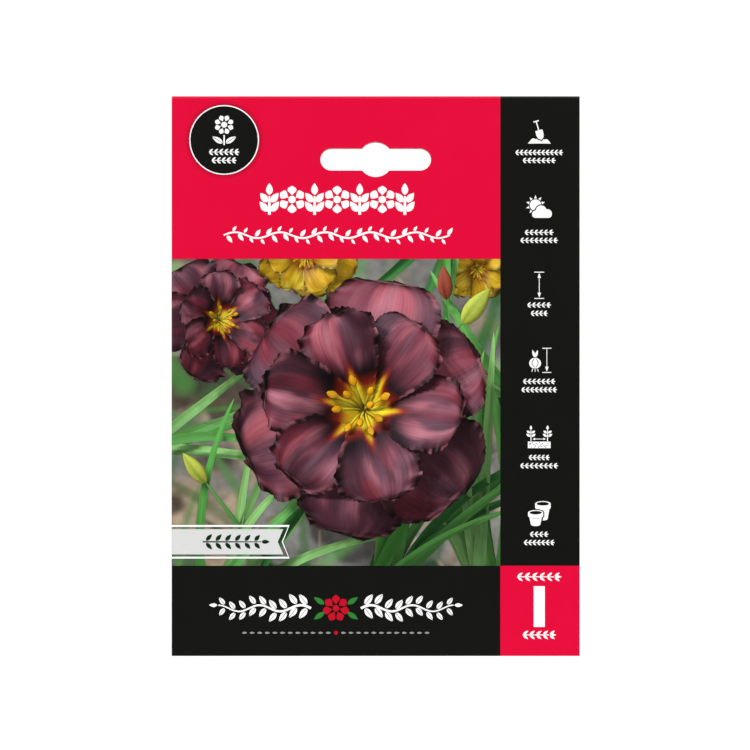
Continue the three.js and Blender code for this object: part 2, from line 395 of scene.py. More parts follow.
def bare_board(name, light, dark):
    """Uncoated board: greyish pulp with short fibres and flecks."""
    paint = Paint(name)
    place = paint.place()
    pulp = paint.noise(place, 220.0, 4.0, 0.65)
    fibre = paint.noise(paint.stretched(place, (1.0, 1.0, 0.25)), 1500.0, 2.0)
    fleck = paint.cells(place, 420.0)
    tone = paint.mix(light, dark, pulp * 0.8 + fibre * 0.35 - 0.1)
    return paint.finish({
        "Base Color": paint.mix(dark * 0.62, tone, (fleck * 9.0).at_most(1.0)),
        "Roughness": 0.85 + (fibre - 0.5) * 0.1,
        "Specular IOR Level": 0.25,
        "Normal": paint.bump(pulp * 0.5 + fibre * 0.5, 0.03),
    })


INKS = {
    "red": ink("ink_red", RED, roughness=0.3),
    "black": ink("ink_black", BLACK),
    "white": ink("ink_white", WHITE, uneven=0.006),
    "panel": ink("ink_ribbon_grey", PANEL_GREY, uneven=0.008),
    "sprig": ink("ink_dark_green", RIBBON_INK),
    "faint": ink("ink_faint_grey", FAINT_GREY),
    "deep_red": ink("ink_deep_red", DEEP_RED),
    "leaf": ink("ink_leaf_green", LEAF_PRINT),
}
BOARD_CORE = bare_board("board_core", linear(238, 234, 226), linear(214, 208, 198))
BOARD_BACK = bare_board("board_back", linear(226, 221, 212), linear(196, 190, 180))

# ---- Card -----------------------------------------------------------------------------------------

SLOT_STEPS, FOLD_STEPS = 28, 20  # points on each arc of the slot, and on each side of the fold


def at(across, down):
    """Frame x and z of a place measured across from the card's left edge and down from its top."""
    return CARD_LEFT + across, CARD_TOP - down


def slot_outline():
    """The euro slot: a bar with round ends and a round eye in its middle."""
    middle_x, middle_z = at((CARD_RIGHT - CARD_LEFT) / 2, SLOT_DROP)
    end, eye = SLOT_BAR / 2, SLOT_EYE / 2
    run = SLOT_WIDTH / 2 - end
    meet = math.asin(end / eye)
    stretches = [
        (run, end, -math.pi / 2, math.pi / 2),
        (0.0, eye, meet, math.pi - meet),
        (-run, end, math.pi / 2, math.pi * 1.5),
        (0.0, eye, math.pi + meet, 2 * math.pi - meet),
    ]
    return [
        (middle_x + offset + radius * math.cos(a), middle_z + radius * math.sin(a))
        for offset, radius, start, stop in stretches
        for a in np.linspace(start, stop, SLOT_STEPS)
    ]


def card_section():
    """The folded board from the side, as y and z, with a point where each field of the print ends."""
    outer, inner = CARD_BACK / 2, FOLD_GAP / 2
    bend = CARD_TOP - outer
    leaf_foot = CARD_TOP - LEAF_HEIGHT
    turns = np.linspace(0, math.pi, FOLD_STEPS)
    front = [(0.0, CARD_TOP - down) for down in (HEADER_FOOT, PICTURE_FOOT)]
    over = [(outer - outer * math.cos(a), bend + outer * math.sin(a)) for a in turns]
    under = [(outer + inner * math.cos(a), bend + inner * math.sin(a)) for a in turns]
    return [
        *reversed(front),
        *over,
        (CARD_BACK, leaf_foot),
        (BOARD + FOLD_GAP, leaf_foot),
        *under,
        (BOARD, CARD_FOOT),
        (0.0, CARD_FOOT),
    ]


def prism(outline, stations, place):
    """A closed solid: an outline repeated at each station, with place(u, v, station) giving its points."""
    count = len(outline)
    points = [place(u, v, station) for station in stations for u, v in outline]
    faces = grid_faces(len(stations), count, closed=True)
    ends = [tuple(range(count)), tuple(reversed(range(len(points) - count, len(points))))]
    return points, [*faces, *ends]


def card_finish(centre, normal):
    """Which of the card's materials a face takes: ink outside, bare board inside, the core at cut edges."""
    x, y, z = centre
    bend = CARD_TOP - CARD_BACK / 2
    around_fold = math.hypot(y - CARD_BACK / 2, z - bend)
    on_fold = z > bend + 0.01 and abs(normal[0]) < 0.5
    outside = around_fold > (CARD_BACK - BOARD) / 2 if on_fold else abs(normal[1]) > 0.9 and (
        y < BOARD / 2 or y > CARD_BACK - BOARD / 2)
    if not outside:
        inside = on_fold or (abs(normal[1]) > 0.9)
        return "back" if inside else "core"
    down, across = CARD_TOP - z, x - CARD_LEFT
    in_column = across > COLUMN_LEFT
    if y > BOARD:
        return "black" if in_column else "red"
    if down < PICTURE_FOOT:
        return "black" if in_column or down > HEADER_FOOT else "red"
    return "red" if in_column else "black"


def folded_card():
    """The card as one folded sheet of board, die-cut and printed on its outside."""
    across = [CARD_LEFT, CARD_LEFT + COLUMN_LEFT, CARD_RIGHT]
    points, faces = prism(card_section(), across, lambda y, z, x: (x, y, z))
    finishes = {"red": INKS["red"], "black": INKS["black"], "back": BOARD_BACK, "core": BOARD_CORE}
    made = piece("folded_card", points, faces, finishes.values(), False)
    face_outwards(made)
    cut_points, cut_faces = prism(slot_outline(), (-2.0, CARD_BACK + 2.0), lambda x, z, y: (x, y, z))
    cutter = piece("slot_cutter", cut_points, cut_faces, [], False)
    face_outwards(cutter)
    cut = made.modifiers.new("slot", "BOOLEAN")
    cut.operation, cut.solver, cut.object = "DIFFERENCE", "EXACT", cutter
    edge = made.modifiers.new("edge", "BEVEL")
    edge.width, edge.segments, edge.angle_limit = 0.05 * MM, 2, math.radians(60)
    solid = bpy.data.meshes.new_from_object(made.evaluated_get(bpy.context.evaluated_depsgraph_get()))
    made.modifiers.clear()
    made.data = solid
    bpy.data.objects.remove(cutter)
    order = list(finishes)
    for face in solid.polygons:
        face.material_index = order.index(card_finish(face.center / MM, face.normal))
    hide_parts("hang_card")


# ---- Flat print -----------------------------------------------------------------------------------

LAYER = 0.02  # thickness of one printing of raised ink


def circle(x, z, radius, sides=44, squeeze=1.0):
    turns = np.linspace(0, 2 * math.pi, sides, endpoint=False)
    return [(x + radius * math.cos(a), z + squeeze * radius * math.sin(a)) for a in turns]


def block(left, right, low, high):
    return [(left, low), (right, low), (right, high), (left, high)]


def rule(x, z, length, weight):
    """A straight rule with round ends, centred on a place."""
    reach, end = length / 2 - weight / 2, weight / 2
    turns = np.linspace(-math.pi / 2, math.pi / 2, 9)
    right = [(x + reach + end * math.cos(a), z + end * math.sin(a)) for a in turns]
    left = [(x - reach - end * math.cos(a), z - end * math.sin(a)) for a in turns]
    return right + left


def leaf(x, z, length, width, angle, fullest=0.42, steps=14):
    """A pointed leaf from its foot at x, z, pointing at an angle in degrees."""
    power = math.log(0.5) / math.log(fullest)
    turn = math.radians(angle)
    way, side = (math.cos(turn), math.sin(turn)), (-math.sin(turn), math.cos(turn))
    edge = []
    for t in np.linspace(0, 1, steps):
        half = width / 2 * math.sin(math.pi * t**power) ** 0.9 if 0 < t < 1 else 0.0
        edge.append((t * length, half))
    around = edge + [(t, -half) for t, half in reversed(edge[1:-1])]
    return [(x + way[0] * t + side[0] * h, z + way[1] * t + side[1] * h) for t, h in around]


def veined_leaf(x, z, length, width, angle, slit):
    """A leaf split along its midrib, as its two halves."""
    whole = leaf(x, z, length, width, angle)
    turn = math.radians(angle)
    steps = len(whole) // 2 + 1
    halves = []
    for sign, edge in ((1, whole[:steps]), (-1, [whole[0], *whole[:steps - 2:-1]])):
        shift = (-math.sin(turn) * slit / 2 * sign, math.cos(turn) * slit / 2 * sign)
        halves.append([(px + shift[0], pz + shift[1]) for px, pz in edge])
    return halves


def brush(points, weights):
    """A stroke along points, with its width at each of them."""
    line = np.array(points, float)
    way = np.gradient(line, axis=0)
    way /= np.linalg.norm(way, axis=1)[:, None]
    side = np.stack([-way[:, 1], way[:, 0]], 1) * (np.broadcast_to(weights, len(line))[:, None] / 2)
    return [tuple(p) for p in np.concatenate([line + side, (line - side)[::-1]])]


def rosette(x, z, radius, petals, heart, turn=90.0, gap=0.14):
    """A round blossom of separate petals about a round heart."""
    shapes = [circle(x, z, radius * heart)]
    reach = radius * (1 - heart) - gap
    width = 2 * math.sin(math.pi / petals) * radius * 0.66
    for k in range(petals):
        angle = turn + 360 * k / petals
        foot = radius * heart + gap
        toward = math.radians(angle)
        start = (x + foot * math.cos(toward), z + foot * math.sin(toward))
        shapes.append(leaf(*start, reach, width, angle, fullest=0.6))
    return shapes


def sprig(x, z, length, angle, pairs, leaf_length, leaf_width, stem, spread):
    """A straight stem with pairs of leaves and one at its tip, starting at its foot."""
    turn = math.radians(angle)
    way, side = np.array([math.cos(turn), math.sin(turn)]), np.array([-math.sin(turn), math.cos(turn)])
    foot = np.array([x, z])
    run = length - leaf_length * 0.9
    shapes = [brush([foot, foot + way * run / 2, foot + way * run], [stem, stem * 0.9, stem * 0.6])]
    tip = foot + way * (run + stem * 0.4)
    shapes.append(leaf(*tip, leaf_length * 0.9, leaf_width, angle))
    for k in range(pairs):
        share = (k + 0.35) / pairs
        for sign in (-1, 1):
            start = foot + way * (run * share) + side * sign * (stem * 0.5 + 0.12)
            shapes.append(leaf(*start, leaf_length * (1 - 0.15 * share), leaf_width, angle + sign * spread))
    return shapes


def printed(name, shapes, tone, layer=0, level=None, back=False):
    """A printing of raised ink in one colour. A shape is an outline, or an outline and its holes."""
    made = Pile()
    height = LAYER * (layer + 1) if level is None else level
    outer, inner = (CARD_BACK + height, CARD_BACK + height - LAYER) if back else (-height, LAYER - height)
    for shape in shapes:
        loops = [shape] if isinstance(shape[0][0], (int, float, np.floating)) else shape
        flat = [place for loop in loops for place in loop]
        count = len(flat)
        triangles = tessellate_polygon([[Vector((x, z, 0.0)) for x, z in loop] for loop in loops])
        faces = [tuple(t) for t in triangles] + [tuple(count + k for k in reversed(t)) for t in triangles]
        first = 0
        for loop in loops:
            ends = [(first + k, first + (k + 1) % len(loop)) for k in range(len(loop))]
            faces += [(a, b, count + b, count + a) for a, b in ends]
            first += len(loop)
        made.add([(x, y, z) for y in (outer, inner) for x, z in flat], faces)
    face_outwards(made.make(name, INKS[tone], "printed_board", False))


def laurel(x, z, length, height, stem=0.2):
    """A level sprig, centred on a place: leaves above and below a thin stem, all swept one way."""
    count = max(3, round(length / (height * 0.82)))
    left, pitch = x - length / 2, length / count
    shapes = [brush([(left, z), (left + length - pitch, z)], stem)]
    for k in range(count):
        for sign in (-1, 1):
            foot = (left + pitch * (k + 0.1), z + sign * (stem / 2 + 0.05))
            shapes.append(leaf(*foot, height * 0.7, height * 0.27, sign * 36))
    shapes.append(leaf(left + length - pitch * 0.9, z, pitch * 0.95, height * 0.27, 0))
    return shapes


def caption(middle, downs, lengths):
    """Two leafy rules in a caption's place, one under the other."""
    height = 1.6
    return [s for down, length in zip(downs, lengths) for s in laurel(*at(middle, down), length, height)]


def header_shapes():
    """The header's ornament: a bold row of blossoms and sprigs over a leafy vine."""
    first, last, middle_down = 25.0, 70.7, 30.0
    count = 7
    pitch = (last - first) / count
    shapes = []
    for k in range(count):
        x, z = at(first + pitch * (k + 0.5), middle_down)
        if k % 2:
            shapes += rosette(x, z, 3.95, 6, heart=0.27)
        else:
            shapes += sprig(x, z - 4.4, 8.8, 90, 2, 3.75, 1.95, 0.85, spread=38)
    left, right, vine_down = 15.0, 80.4, 40.3
    reach = np.linspace(0, 1, 121)
    swing = lambda t: 0.85 * math.sin(10 * math.pi * t)
    spot = lambda t: (at(blend(left, right, t), 0)[0], at(0, vine_down)[1] + swing(t))
    shapes.append(brush([spot(t) for t in reach], 0.45 + 0.12 * np.sin(np.pi * reach)))
    for k in range(40):
        t = (k + 0.5) / 40
        x, z = spot(t)
        up = 1 if k % 2 else -1
        size = 2.5 if up * swing(t) <= 0 else 1.75
        shapes.append(leaf(x + 0.2, z + up * 0.42, size, size * 0.46, up * 54))
    return shapes


def badge_print():
    """The round badge: a soft dark halo, a white rim, a black disc and a white flower."""
    x, z = at(15.17, 12.76)
    radius, rim, sides = 9.75, 0.32, 72
    halo = Pile()
    rings = [(radius + rim, 0.6), (radius + 1.0, 0.8), (radius + 1.9, 1.0)]
    points = [(px, -0.004, pz) for reach, _ in rings for px, pz in circle(x, z, reach, sides)]
    shades = np.repeat([RED * shade for _, shade in rings], sides, axis=0)
    halo.add(points, grid_faces(3, sides, closed=True), tone=shades)
    halo.make("badge_halo", toned("badge_halo_ink"), "printed_board")
    printed("badge_rim", [[circle(x, z, radius + rim, 96), circle(x, z, radius, 96)[::-1]]], "white")
    printed("badge_disc", [circle(x, z, radius - 0.01, 96)], "black")
    shapes = rosette(x, z + 4.4, 2.85, 8, turn=22.5, heart=0.3, gap=0.2)
    shapes.append(brush([(x, z + 1.4), (x, z + 0.2), (x, z - 1.5)], 0.42))
    for sign in (-1, 1):
        shapes += veined_leaf(x + sign * 0.45, z - 0.9, 3.5, 1.35, 90 - sign * 58, 0.14)
    shapes += laurel(x, z - 3.5, 8.8, 1.9) + laurel(x, z - 5.9, 7.2, 1.9)
    printed("badge_flower", shapes, "white", layer=1)


def arrow(x, low, high, both=True):
    """A vertical arrow, with one head or two, between two places."""
    head, half, gap = 1.45, 0.52, 0.22
    shaft = block(x - 0.1, x + 0.1, low + gap + head * 0.9, high - (gap + head * 0.9 if both else 0.0))
    tips = [(low + gap, head), (high - gap, -head)][: 2 if both else 1]
    return [shaft, *([(x, tip), (x + half, tip + back), (x - half, tip + back)] for tip, back in tips)]


def spade_icon(x, z):
    """A spade standing in a heap of soil, as the heap, the dark gap round the blade, and the spade."""
    turn = math.radians(16)
    tilt = lambda outline: [
        (x + px * math.cos(turn) - pz * math.sin(turn), z + px * math.sin(turn) + pz * math.cos(turn))
        for px, pz in outline
    ]
    edge = [(-1.05, 0.55), (1.05, 0.55), (1.1, -0.8), (0.8, -1.75), (0, -2.35), (-0.8, -1.75), (-1.1, -0.8)]
    heap = [
        (x + 3.3 * t, z - 3.3 + 1.7 * max(0.0, 1 - abs(t) ** 2.2) ** 0.8 * (1 + 0.2 * math.sin(9 * t + 1)))
        for t in np.linspace(1, -1, 27)
    ]
    gap = tilt([(px * 1.28, pz * 1.13 - 0.05) for px, pz in edge])
    spade = [tilt(block(-0.8, 0.8, 3.05, 3.4)), tilt(block(-0.17, 0.17, 0.5, 3.1)), tilt(edge)]
    return [heap], [gap], spade


def sun_icon(x, z):
    """The sun, with its rays."""
    shapes = [circle(x, z, 1.65, 32)]
    for k in range(10):
        a = 2 * math.pi * (k + 0.5) / 10
        out = lambda reach, turn: (x + reach * math.cos(a + turn), z + reach * math.sin(a + turn))
        shapes.append([out(1.95, -0.2), out(2.85, 0.0), out(1.95, 0.2)])
    return shapes


def cloud_outline(x, z, grow=0.0):
    """A cloud: three puffs on a flat foot."""
    puffs = [(-1.75, -0.55, 1.1), (-0.2, 0.45, 1.55), (1.65, -0.35, 1.25)]
    turns = np.linspace(0, math.pi, 60)
    edge = []
    for a in turns:
        way = (math.cos(a), math.sin(a))
        best = 0.0
        for px, pz, radius in puffs:
            middle = px * way[0] + (pz + 0.4) * way[1]
            under = (radius + grow) ** 2 - (px**2 + (pz + 0.4) ** 2 - middle**2)
            if under > 0:
                best = max(best, middle + math.sqrt(under))
        edge.append((x + best * way[0], z - 0.4 + best * way[1]))
    foot = z - 1.6 - grow
    left, right = edge[-1][0], edge[0][0]
    corner = 1.0
    quarter = np.linspace(0, math.pi / 2, 8)
    low = [(left + corner - corner * math.cos(a), foot + corner - corner * math.sin(a)) for a in quarter]
    low += [(right - corner + corner * math.sin(a), foot + corner - corner * math.cos(a)) for a in quarter]
    return edge + low


def bulb_icon(x, z):
    """A round bulb with a pair of shoots and short roots."""
    sides = [(0.3, 1.15), (0.85, 0.95), (1.5, 0.4), (1.78, -0.4), (1.55, -1.2), (0.95, -1.75), (0.4, -1.9)]
    whole = [(x + px, z + pz) for px, pz in sides] + [(x - px, z + pz) for px, pz in reversed(sides)]
    shoots = [leaf(x + sign * 0.12, z + 1.3, 2.2, 0.75, 90 - sign * 17) for sign in (-1, 1)]
    roots = [
        brush([(x + k * 0.28, z - 2.0), (x + k * 0.42, z - 2.4), (x + k * 0.46, z - 2.9)], 0.19)
        for k in (-2, 0, 2)
    ]
    return [whole, *shoots, *roots]


def bulb_lines(x, z):
    """The dark seams of the bulb's scales."""
    lift = np.linspace(0, 1, 9)
    return [
        brush([(x + sign * (0.15 + 0.75 * math.sin(math.pi * t)), z + 0.95 - 2.6 * t) for t in lift], 0.17)
        for sign in (-1, 1)
    ]


def seedling(x, z):
    """A small plant: a stem with two pairs of leaves and one on top."""
    shapes = [block(x - 0.13, x + 0.13, z, z + 3.2)]
    shapes.append(leaf(x, z + 3.3, 1.3, 0.7, 90))
    for height, length in ((1.35, 1.4), (2.35, 1.2)):
        for sign in (-1, 1):
            shapes.append(leaf(x + sign * 0.24, z + height, length, 0.7, 90 - sign * 55))
    return shapes


def pot(x, z, width, height, grow=0.0):
    """A plant pot: a rim round its open mouth, and a tapered body under it. With grow, its plain outline."""
    half, squeeze = width / 2, 0.34
    band, gap = height * 0.2, 0.2
    top = z + height / 2 - half * squeeze
    over = [
        (x + (half + grow) * math.cos(a), top + (half * squeeze + grow) * math.sin(a))
        for a in np.linspace(0, math.pi, 17)
    ]
    under = lambda reach, level: [
        (x + reach * math.cos(a), level + reach * squeeze * math.sin(a))
        for a in np.linspace(math.pi, 2 * math.pi, 17)
    ]
    foot = z - height / 2 + half * 0.2 - grow
    if grow:
        return [
            over + under(half + grow, top - band - grow * 0.5),
            under(half * 0.9 + grow, top - band)[::-1] + under(half * 0.64 + grow, foot),
        ]
    mouth = circle(x, top, half * 0.8, 32, squeeze * 0.85)
    return [
        [over + under(half, top - band), mouth[::-1]],
        under(half * 0.86, top - band - gap)[::-1] + under(half * 0.62, foot),
    ]


def column_print():
    """The column's pictograms, each over two leafy rules."""
    x = at(COLUMN_MIDDLE, 0)[0]
    level = lambda down: at(0, down)[1]
    low, dark, high = spade_icon(x, level(10.5))
    low += sun_icon(x - 1.1, level(31.6))
    dark += [cloud_outline(x + 0.75, level(33.7), 0.32)]
    high += [cloud_outline(x + 0.75, level(33.7))]
    foot, head = level(58.6), level(51.0)
    low += [rule(x, foot, 2.9, 0.24), rule(x, head, 2.9, 0.24), *arrow(x, foot, head)]
    low += bulb_icon(x - 1.2, level(76.9))
    dark += bulb_lines(x - 1.2, level(76.9))
    foot, head, beside = level(80.0), level(73.0), x + 2.2
    low += [rule(beside, foot, 2.7, 0.24), rule(beside, head, 2.7, 0.24), *arrow(beside, foot, head, False)]
    soil = level(101.9)
    low += [block(x - 3.3, x + 3.3, soil, soil + 1.9)]
    specks = random.Random(5)
    for k in range(30):
        spot = (x - 3.0 + 6.0 * (k + 0.5) / 30, soil + 0.25 + 1.4 * specks.random())
        dark += [circle(*spot, 0.09 + 0.07 * specks.random(), 8)]
    for sign in (-1, 1):
        low += seedling(x + sign * 2.4, soil + 2.0)
        low += [[(x + sign * 1.9, soil + 2.65), (x + sign * 1.2, soil + 3.0), (x + sign * 1.2, soil + 2.3)]]
    low += [block(x - 1.25, x + 1.25, soil + 2.56, soil + 2.74)]
    low += pot(x + 1.05, level(120.0), 4.5, 5.6)
    dark += pot(x - 1.05, level(122.1), 4.4, 4.6, grow=0.3)
    high += pot(x - 1.05, level(122.1), 4.4, 4.6)
    for first, second, wide, narrow in (
        (16.4, 18.7, 13.8, 9.6), (39.5, 41.8, 8.4, 10.9), (60.5, 62.9, 6.9, 4.9),
        (82.6, 85.0, 9.4, 10.3), (104.6, 107.0, 6.1, 11.0), (126.8, 129.2, 5.4, 8.9),
    ):
        low += caption(COLUMN_MIDDLE, (first, second), (wide, narrow))
    printed("column_signs", low, "white")
    printed("column_gaps", dark, "black", 1)
    printed("column_signs_over", high, "white", 2)


def corner_print():
    """The red corner: a tall white bar between two leafy rules."""
    x = at(COLUMN_MIDDLE, 0)[0]
    bar = block(x - 1.6, x + 1.6, at(0, 153.6)[1], at(0, 141.8)[1])
    over = laurel(*at(COLUMN_MIDDLE, 139.1), 12.8, 2.5, 0.26)
    under = laurel(*at(COLUMN_MIDDLE, 155.9), 9.6, 2.5, 0.26)
    printed("corner_mark", [bar, *over, *under], "white")


def band_print():
    """The foot band's border: a bold white garland about a red blossom, over a row of small leaves."""
    middle, z = at(47.5, 148.2)
    white, red, green, grey = [], rosette(middle, z, 3.9, 7, heart=0.24), [], []
    for sign in (-1, 1):
        for lift in (-1, 1):
            green.append(leaf(middle + sign * 3.4, z + lift * 1.2, 3.6, 1.5, 90 - sign * (90 - lift * 34)))
        reach = np.linspace(0, 1, 61)
        line = [(middle + sign * blend(7.2, 34.0, t), z + 0.9 * math.sin(4.5 * math.pi * t)) for t in reach]
        white.append(brush(line, 0.75 - 0.4 * reach))
        for k in range(9):
            t = (k + 0.4) / 9
            x = middle + sign * blend(7.2, 34.0, t)
            height = z + 0.9 * math.sin(4.5 * math.pi * t)
            size = 3.7 - 1.3 * t
            for lift in (-1, 1):
                angle = 90 - sign * (90 - lift * 52)
                white += veined_leaf(x, height + lift * 0.6, size, size * 0.46, angle, 0.14)
        white.append(leaf(middle + sign * 34.3, line[-1][1], 2.4, 1.1, 90 - sign * 90))
    foot = at(0, 155.3)[1]
    for k in range(-12, 13):
        spot = middle + k * 2.2
        if k:
            grey.append(leaf(spot - 0.75, foot, 1.5, 0.6, 0))
        else:
            red.append(circle(spot, foot, 0.55, 20))
    printed("band_garland", white, "white")
    printed("band_blossom", red, "deep_red")
    printed("band_leaves", green, "leaf")
    printed("band_beads", grey, "faint")


RIBBON_LEVEL = 0.36  # the ribbon is printed over the picture


def ribbon_print():
    """A swallowtail ribbon over the picture's lower left, with white lines round it and a sprig on it."""
    top, low, tip, notch = 125.3, 132.6, 32.3, 30.7
    middle = (top + low) / 2
    left = 0.0
    panel = [at(left, top), at(tip, top), at(notch, middle), at(tip, low), at(left, low)]
    printed("ribbon_panel", [panel], "panel", level=RIBBON_LEVEL)
    gap, weight = 0.66, 0.55
    edge = lambda off: [
        at(left, top - off), at(tip + 0.9 + off * 0.75, top - off), at(notch + 0.75 + off * 0.62, middle),
        at(tip + 0.9 + off * 0.75, low + off), at(left, low + off),
    ]
    printed("ribbon_lines", [edge(gap + weight) + edge(gap)[::-1]], "white", level=RIBBON_LEVEL)
    x, z = at(9.0, middle)
    shapes = sprig(x, z, 19.2, 0, 6, 2.6, 1.15, 0.4, spread=48)
    printed("ribbon_sprig", shapes, "sprig", level=RIBBON_LEVEL + LAYER)


# ---- Picture --------------------------------------------------------------------------------------
# The picture on the card is drawn as plants in a deep scene, lit by a sun of their own, and then
# pressed flat on the board: x and z stay, and depth becomes a relief of a few tenths of a millimetre.

PICTURE_LEFT, PICTURE_TOP = at(0.0, HEADER_FOOT)
PICTURE_RIGHT, PICTURE_LOW = at(COLUMN_LEFT, PICTURE_FOOT)
GROUND_LEVEL = 0.03
RELIEF = 0.26
NEAREST, FURTHEST = 34.0, -60.0  # depths in the pictured scene, towards the viewer
SUN = np.array([-0.42, 0.74, 0.52])
SUN = SUN / np.linalg.norm(SUN)


def toned(name):
    """Ink whose colour is kept in the mesh."""
    paint = Paint(name)
    return paint.coated(paint.kept("tone", "Color"))


def streaked(name, lines, strength):
    """Ink whose colour is kept in the mesh, drawn over with fine lines along each petal or blade."""
    paint = Paint(name)
    along, across, kind = paint.kept("along"), paint.kept("across"), paint.kept("kind")
    strands = paint.joined(along * 2.2 + kind * 7.0, across * lines * 0.5, kind * 3.0)
    silk = paint.noise(strands, 1.0, 3.0, 0.6)
    vein = paint.noise(paint.joined(along * 0.8 + kind * 5.0, across * lines, kind), 1.0, 1.0)
    tone = 1.0 + (silk - 0.5) * strength * 1.5 - vein.over(0.66) * strength * 0.28
    return paint.coated(paint.dim(paint.kept("tone", "Color"), tone))


class Sheet:
    """One petal, blade or stem of the pictured plants: a grid of points as x, depth and z."""

    def __init__(self, points, along, across, colour, kind, shine, glow=0.0):
        self.points, self.along, self.across = points, along, across
        self.colour, self.kind, self.shine, self.glow = colour, kind, shine, glow
        down, right = np.gradient(points, axis=0), np.gradient(points, axis=1)
        normal = np.cross(down, right)
        normal /= np.linalg.norm(normal, axis=2)[:, :, None] + 1e-9
        self.normal = normal * np.where(normal[:, :, 1] < 0, -1.0, 1.0)[:, :, None]


def petal_sheet(centre, axis, length, turn, shape, random_draw, number, palette, rows, columns):
    """One broad petal with a ruffled, laced edge. shape holds how wide, raised and cupped its whorl is."""
    share, over = np.meshgrid(np.linspace(0.02, 1, rows), np.linspace(-1, 1, columns), indexing="ij")
    # Rows crowd towards the round tip, and columns towards the laced edges.
    along = np.sin(share * math.pi / 2)
    across = 0.45 * over + 0.55 * np.sin(over * math.pi / 2)
    first = np.cross(axis, (0.0, 0.0, 1.0))
    first /= np.linalg.norm(first)
    second = np.cross(first, axis)
    out = first * math.cos(turn) + second * math.sin(turn)
    side = np.cross(axis, out)
    phase = random_draw.uniform(0, 6.3, 4)
    edge, rim, half_of = np.abs(across) ** 5, np.abs(across) ** 14, np.sign(across)
    flutter = np.sin(26 * share + 2.4 * np.sin(6 * share + phase[0] + half_of) + phase[1] + 1.7 * half_of)
    flutter *= 0.35 + 1.2 * mottle(share * 5 + number, half_of * 9 + 20, 1.0, 19, 2)
    lace = np.sin(0.95 * rows * share + 4 * np.sin(9 * share + phase[2] + half_of) + phase[3] * half_of)
    lace *= 1.9 * mottle(share * 16 + number, half_of * 9 + 20, 1.0, 25, 2) ** 1.5
    breadth = shape["wide"] * along**0.62 * np.sqrt(1 - 0.999 * along**5)
    # The edge waves square to the outline, which turns from the side to the tip.
    lean = math.pi / 2 * np.clip((share - 0.38) / 0.62, 0, 1) ** 0.85
    wave = length * (0.015 * flutter * edge * np.clip(2 * share, 0, 1) + 0.0065 * lace * rim)
    half = length * breadth + wave * np.cos(lean)
    reach = length * along + wave * np.sin(lean)
    swell = np.sin(4.6 * along + phase[0] + 1.2 * across) * across**2 * along
    pleats = np.sin(10 * across + 2 * np.sin(3 * along + phase[2])) * along * (1 - across**2)
    height = length * (
        -0.24 * (1 - along) ** 3
        + shape["rise"] * along**1.3
        - shape["curl"] * along**4
        + shape["cup"] * across**2 * along * (1.2 - along)
        - 0.03 * np.exp(-((across / 0.1) ** 2)) * along**0.5 * (1 - along)
        + shape["ruffle"] * (0.8 * swell + 0.95 * flutter * edge * share + 0.12 * lace * rim * share)
        + shape["twist"] * across * along**0.6
        + 0.007 * pleats
    )
    points = (
        np.array(centre)
        + reach[..., None] * out
        + (half * across)[..., None] * side
        + height[..., None] * axis
    )
    margin = np.minimum((1 - np.abs(across)) * breadth, 1 - along)
    colour = petal_colour(share, along, across, margin, number, palette)
    return Sheet(points, along, across, colour, number, shine=1.0, glow=0.3)


# The petals' colours: deep, middle and light, and the flush that warms them in patches
MAROON = (linear(22, 8, 12), linear(94, 52, 66), linear(184, 112, 122), linear(150, 40, 50))
GOLDEN = (linear(154, 110, 20), linear(218, 186, 42), linear(250, 228, 106), linear(228, 150, 28))


def petal_colour(share, along, across, margin, number, palette):
    """Velvety, with a near-black rim, a dark eye and a golden throat that runs up the midrib."""
    deep, mid, light, flush = palette
    gold, amber, ember = linear(244, 224, 54), linear(220, 174, 30), linear(140, 40, 24)
    cloud = mottle(along * 2.1 + number * 3.7, across * 2.8 + number, 1.0, 11)
    bright = smooth((along - 0.3) / 0.34) * (0.6 + 0.4 * np.cos(across * 1.6)) * (0.1 + 1.35 * cloud)
    colour = blend(deep, mid, bright[..., None])
    colour = blend(colour, light, (smooth((cloud - 0.45) / 0.35) * bright * 0.6)[..., None])
    warm = smooth((mottle(along * 1.6 + number * 2.3, across * 1.7 + number * 5, 1.0, 13, 2) - 0.42) / 0.22)
    colour = blend(colour, flush, (warm * np.clip(bright, 0, 1) * 0.42)[..., None])
    wander = 0.02 * mottle(along * 20 + number, across * 20, 2.0, 17, 2)
    shade = 1 - smooth((margin - wander) / 0.075)
    colour = blend(colour, deep * 0.6, (shade * 0.75)[..., None])
    crimp = mottle(share * 27 + number * 5, np.sign(across) * 9 + 20, 1.0, 23, 3)
    patchy = mottle(share * 6 + number * 3, np.sign(across) * 9 + 20, 1.0, 27, 2)
    ticks = blend(deep * 0.25, light * 0.7, (smooth((crimp - 0.42) / 0.36) * smooth(patchy * 1.3))[..., None])
    colour = blend(colour, ticks, ((1 - smooth((margin - 2 * wander) / 0.034)) * 0.75)[..., None])
    tongue = np.exp(-((across / (0.16 + 0.6 * np.clip(0.3 - along, 0, 1))) ** 2))
    reach = 0.2 + 0.2 * tongue
    colour = blend(colour, ember, (smooth((reach + 0.14 - along) / 0.16) * 0.85)[..., None])
    colour = blend(colour, amber, smooth((reach + 0.03 - along) / 0.14)[..., None])
    return blend(colour, gold, (smooth((reach - 0.05 - along) / 0.16) * (0.5 + 0.5 * tongue))[..., None])


# How wide, raised, curled back, cupped, ruffled and twisted each whorl's petals are
OUTER_PETAL = {"wide": 0.58, "rise": 0.12, "curl": 0.2, "cup": 0.1, "ruffle": 0.07, "twist": 0.1}
INNER_PETAL = {"wide": 0.56, "rise": 0.26, "curl": 0.17, "cup": 0.16, "ruffle": 0.07, "twist": 0.12}


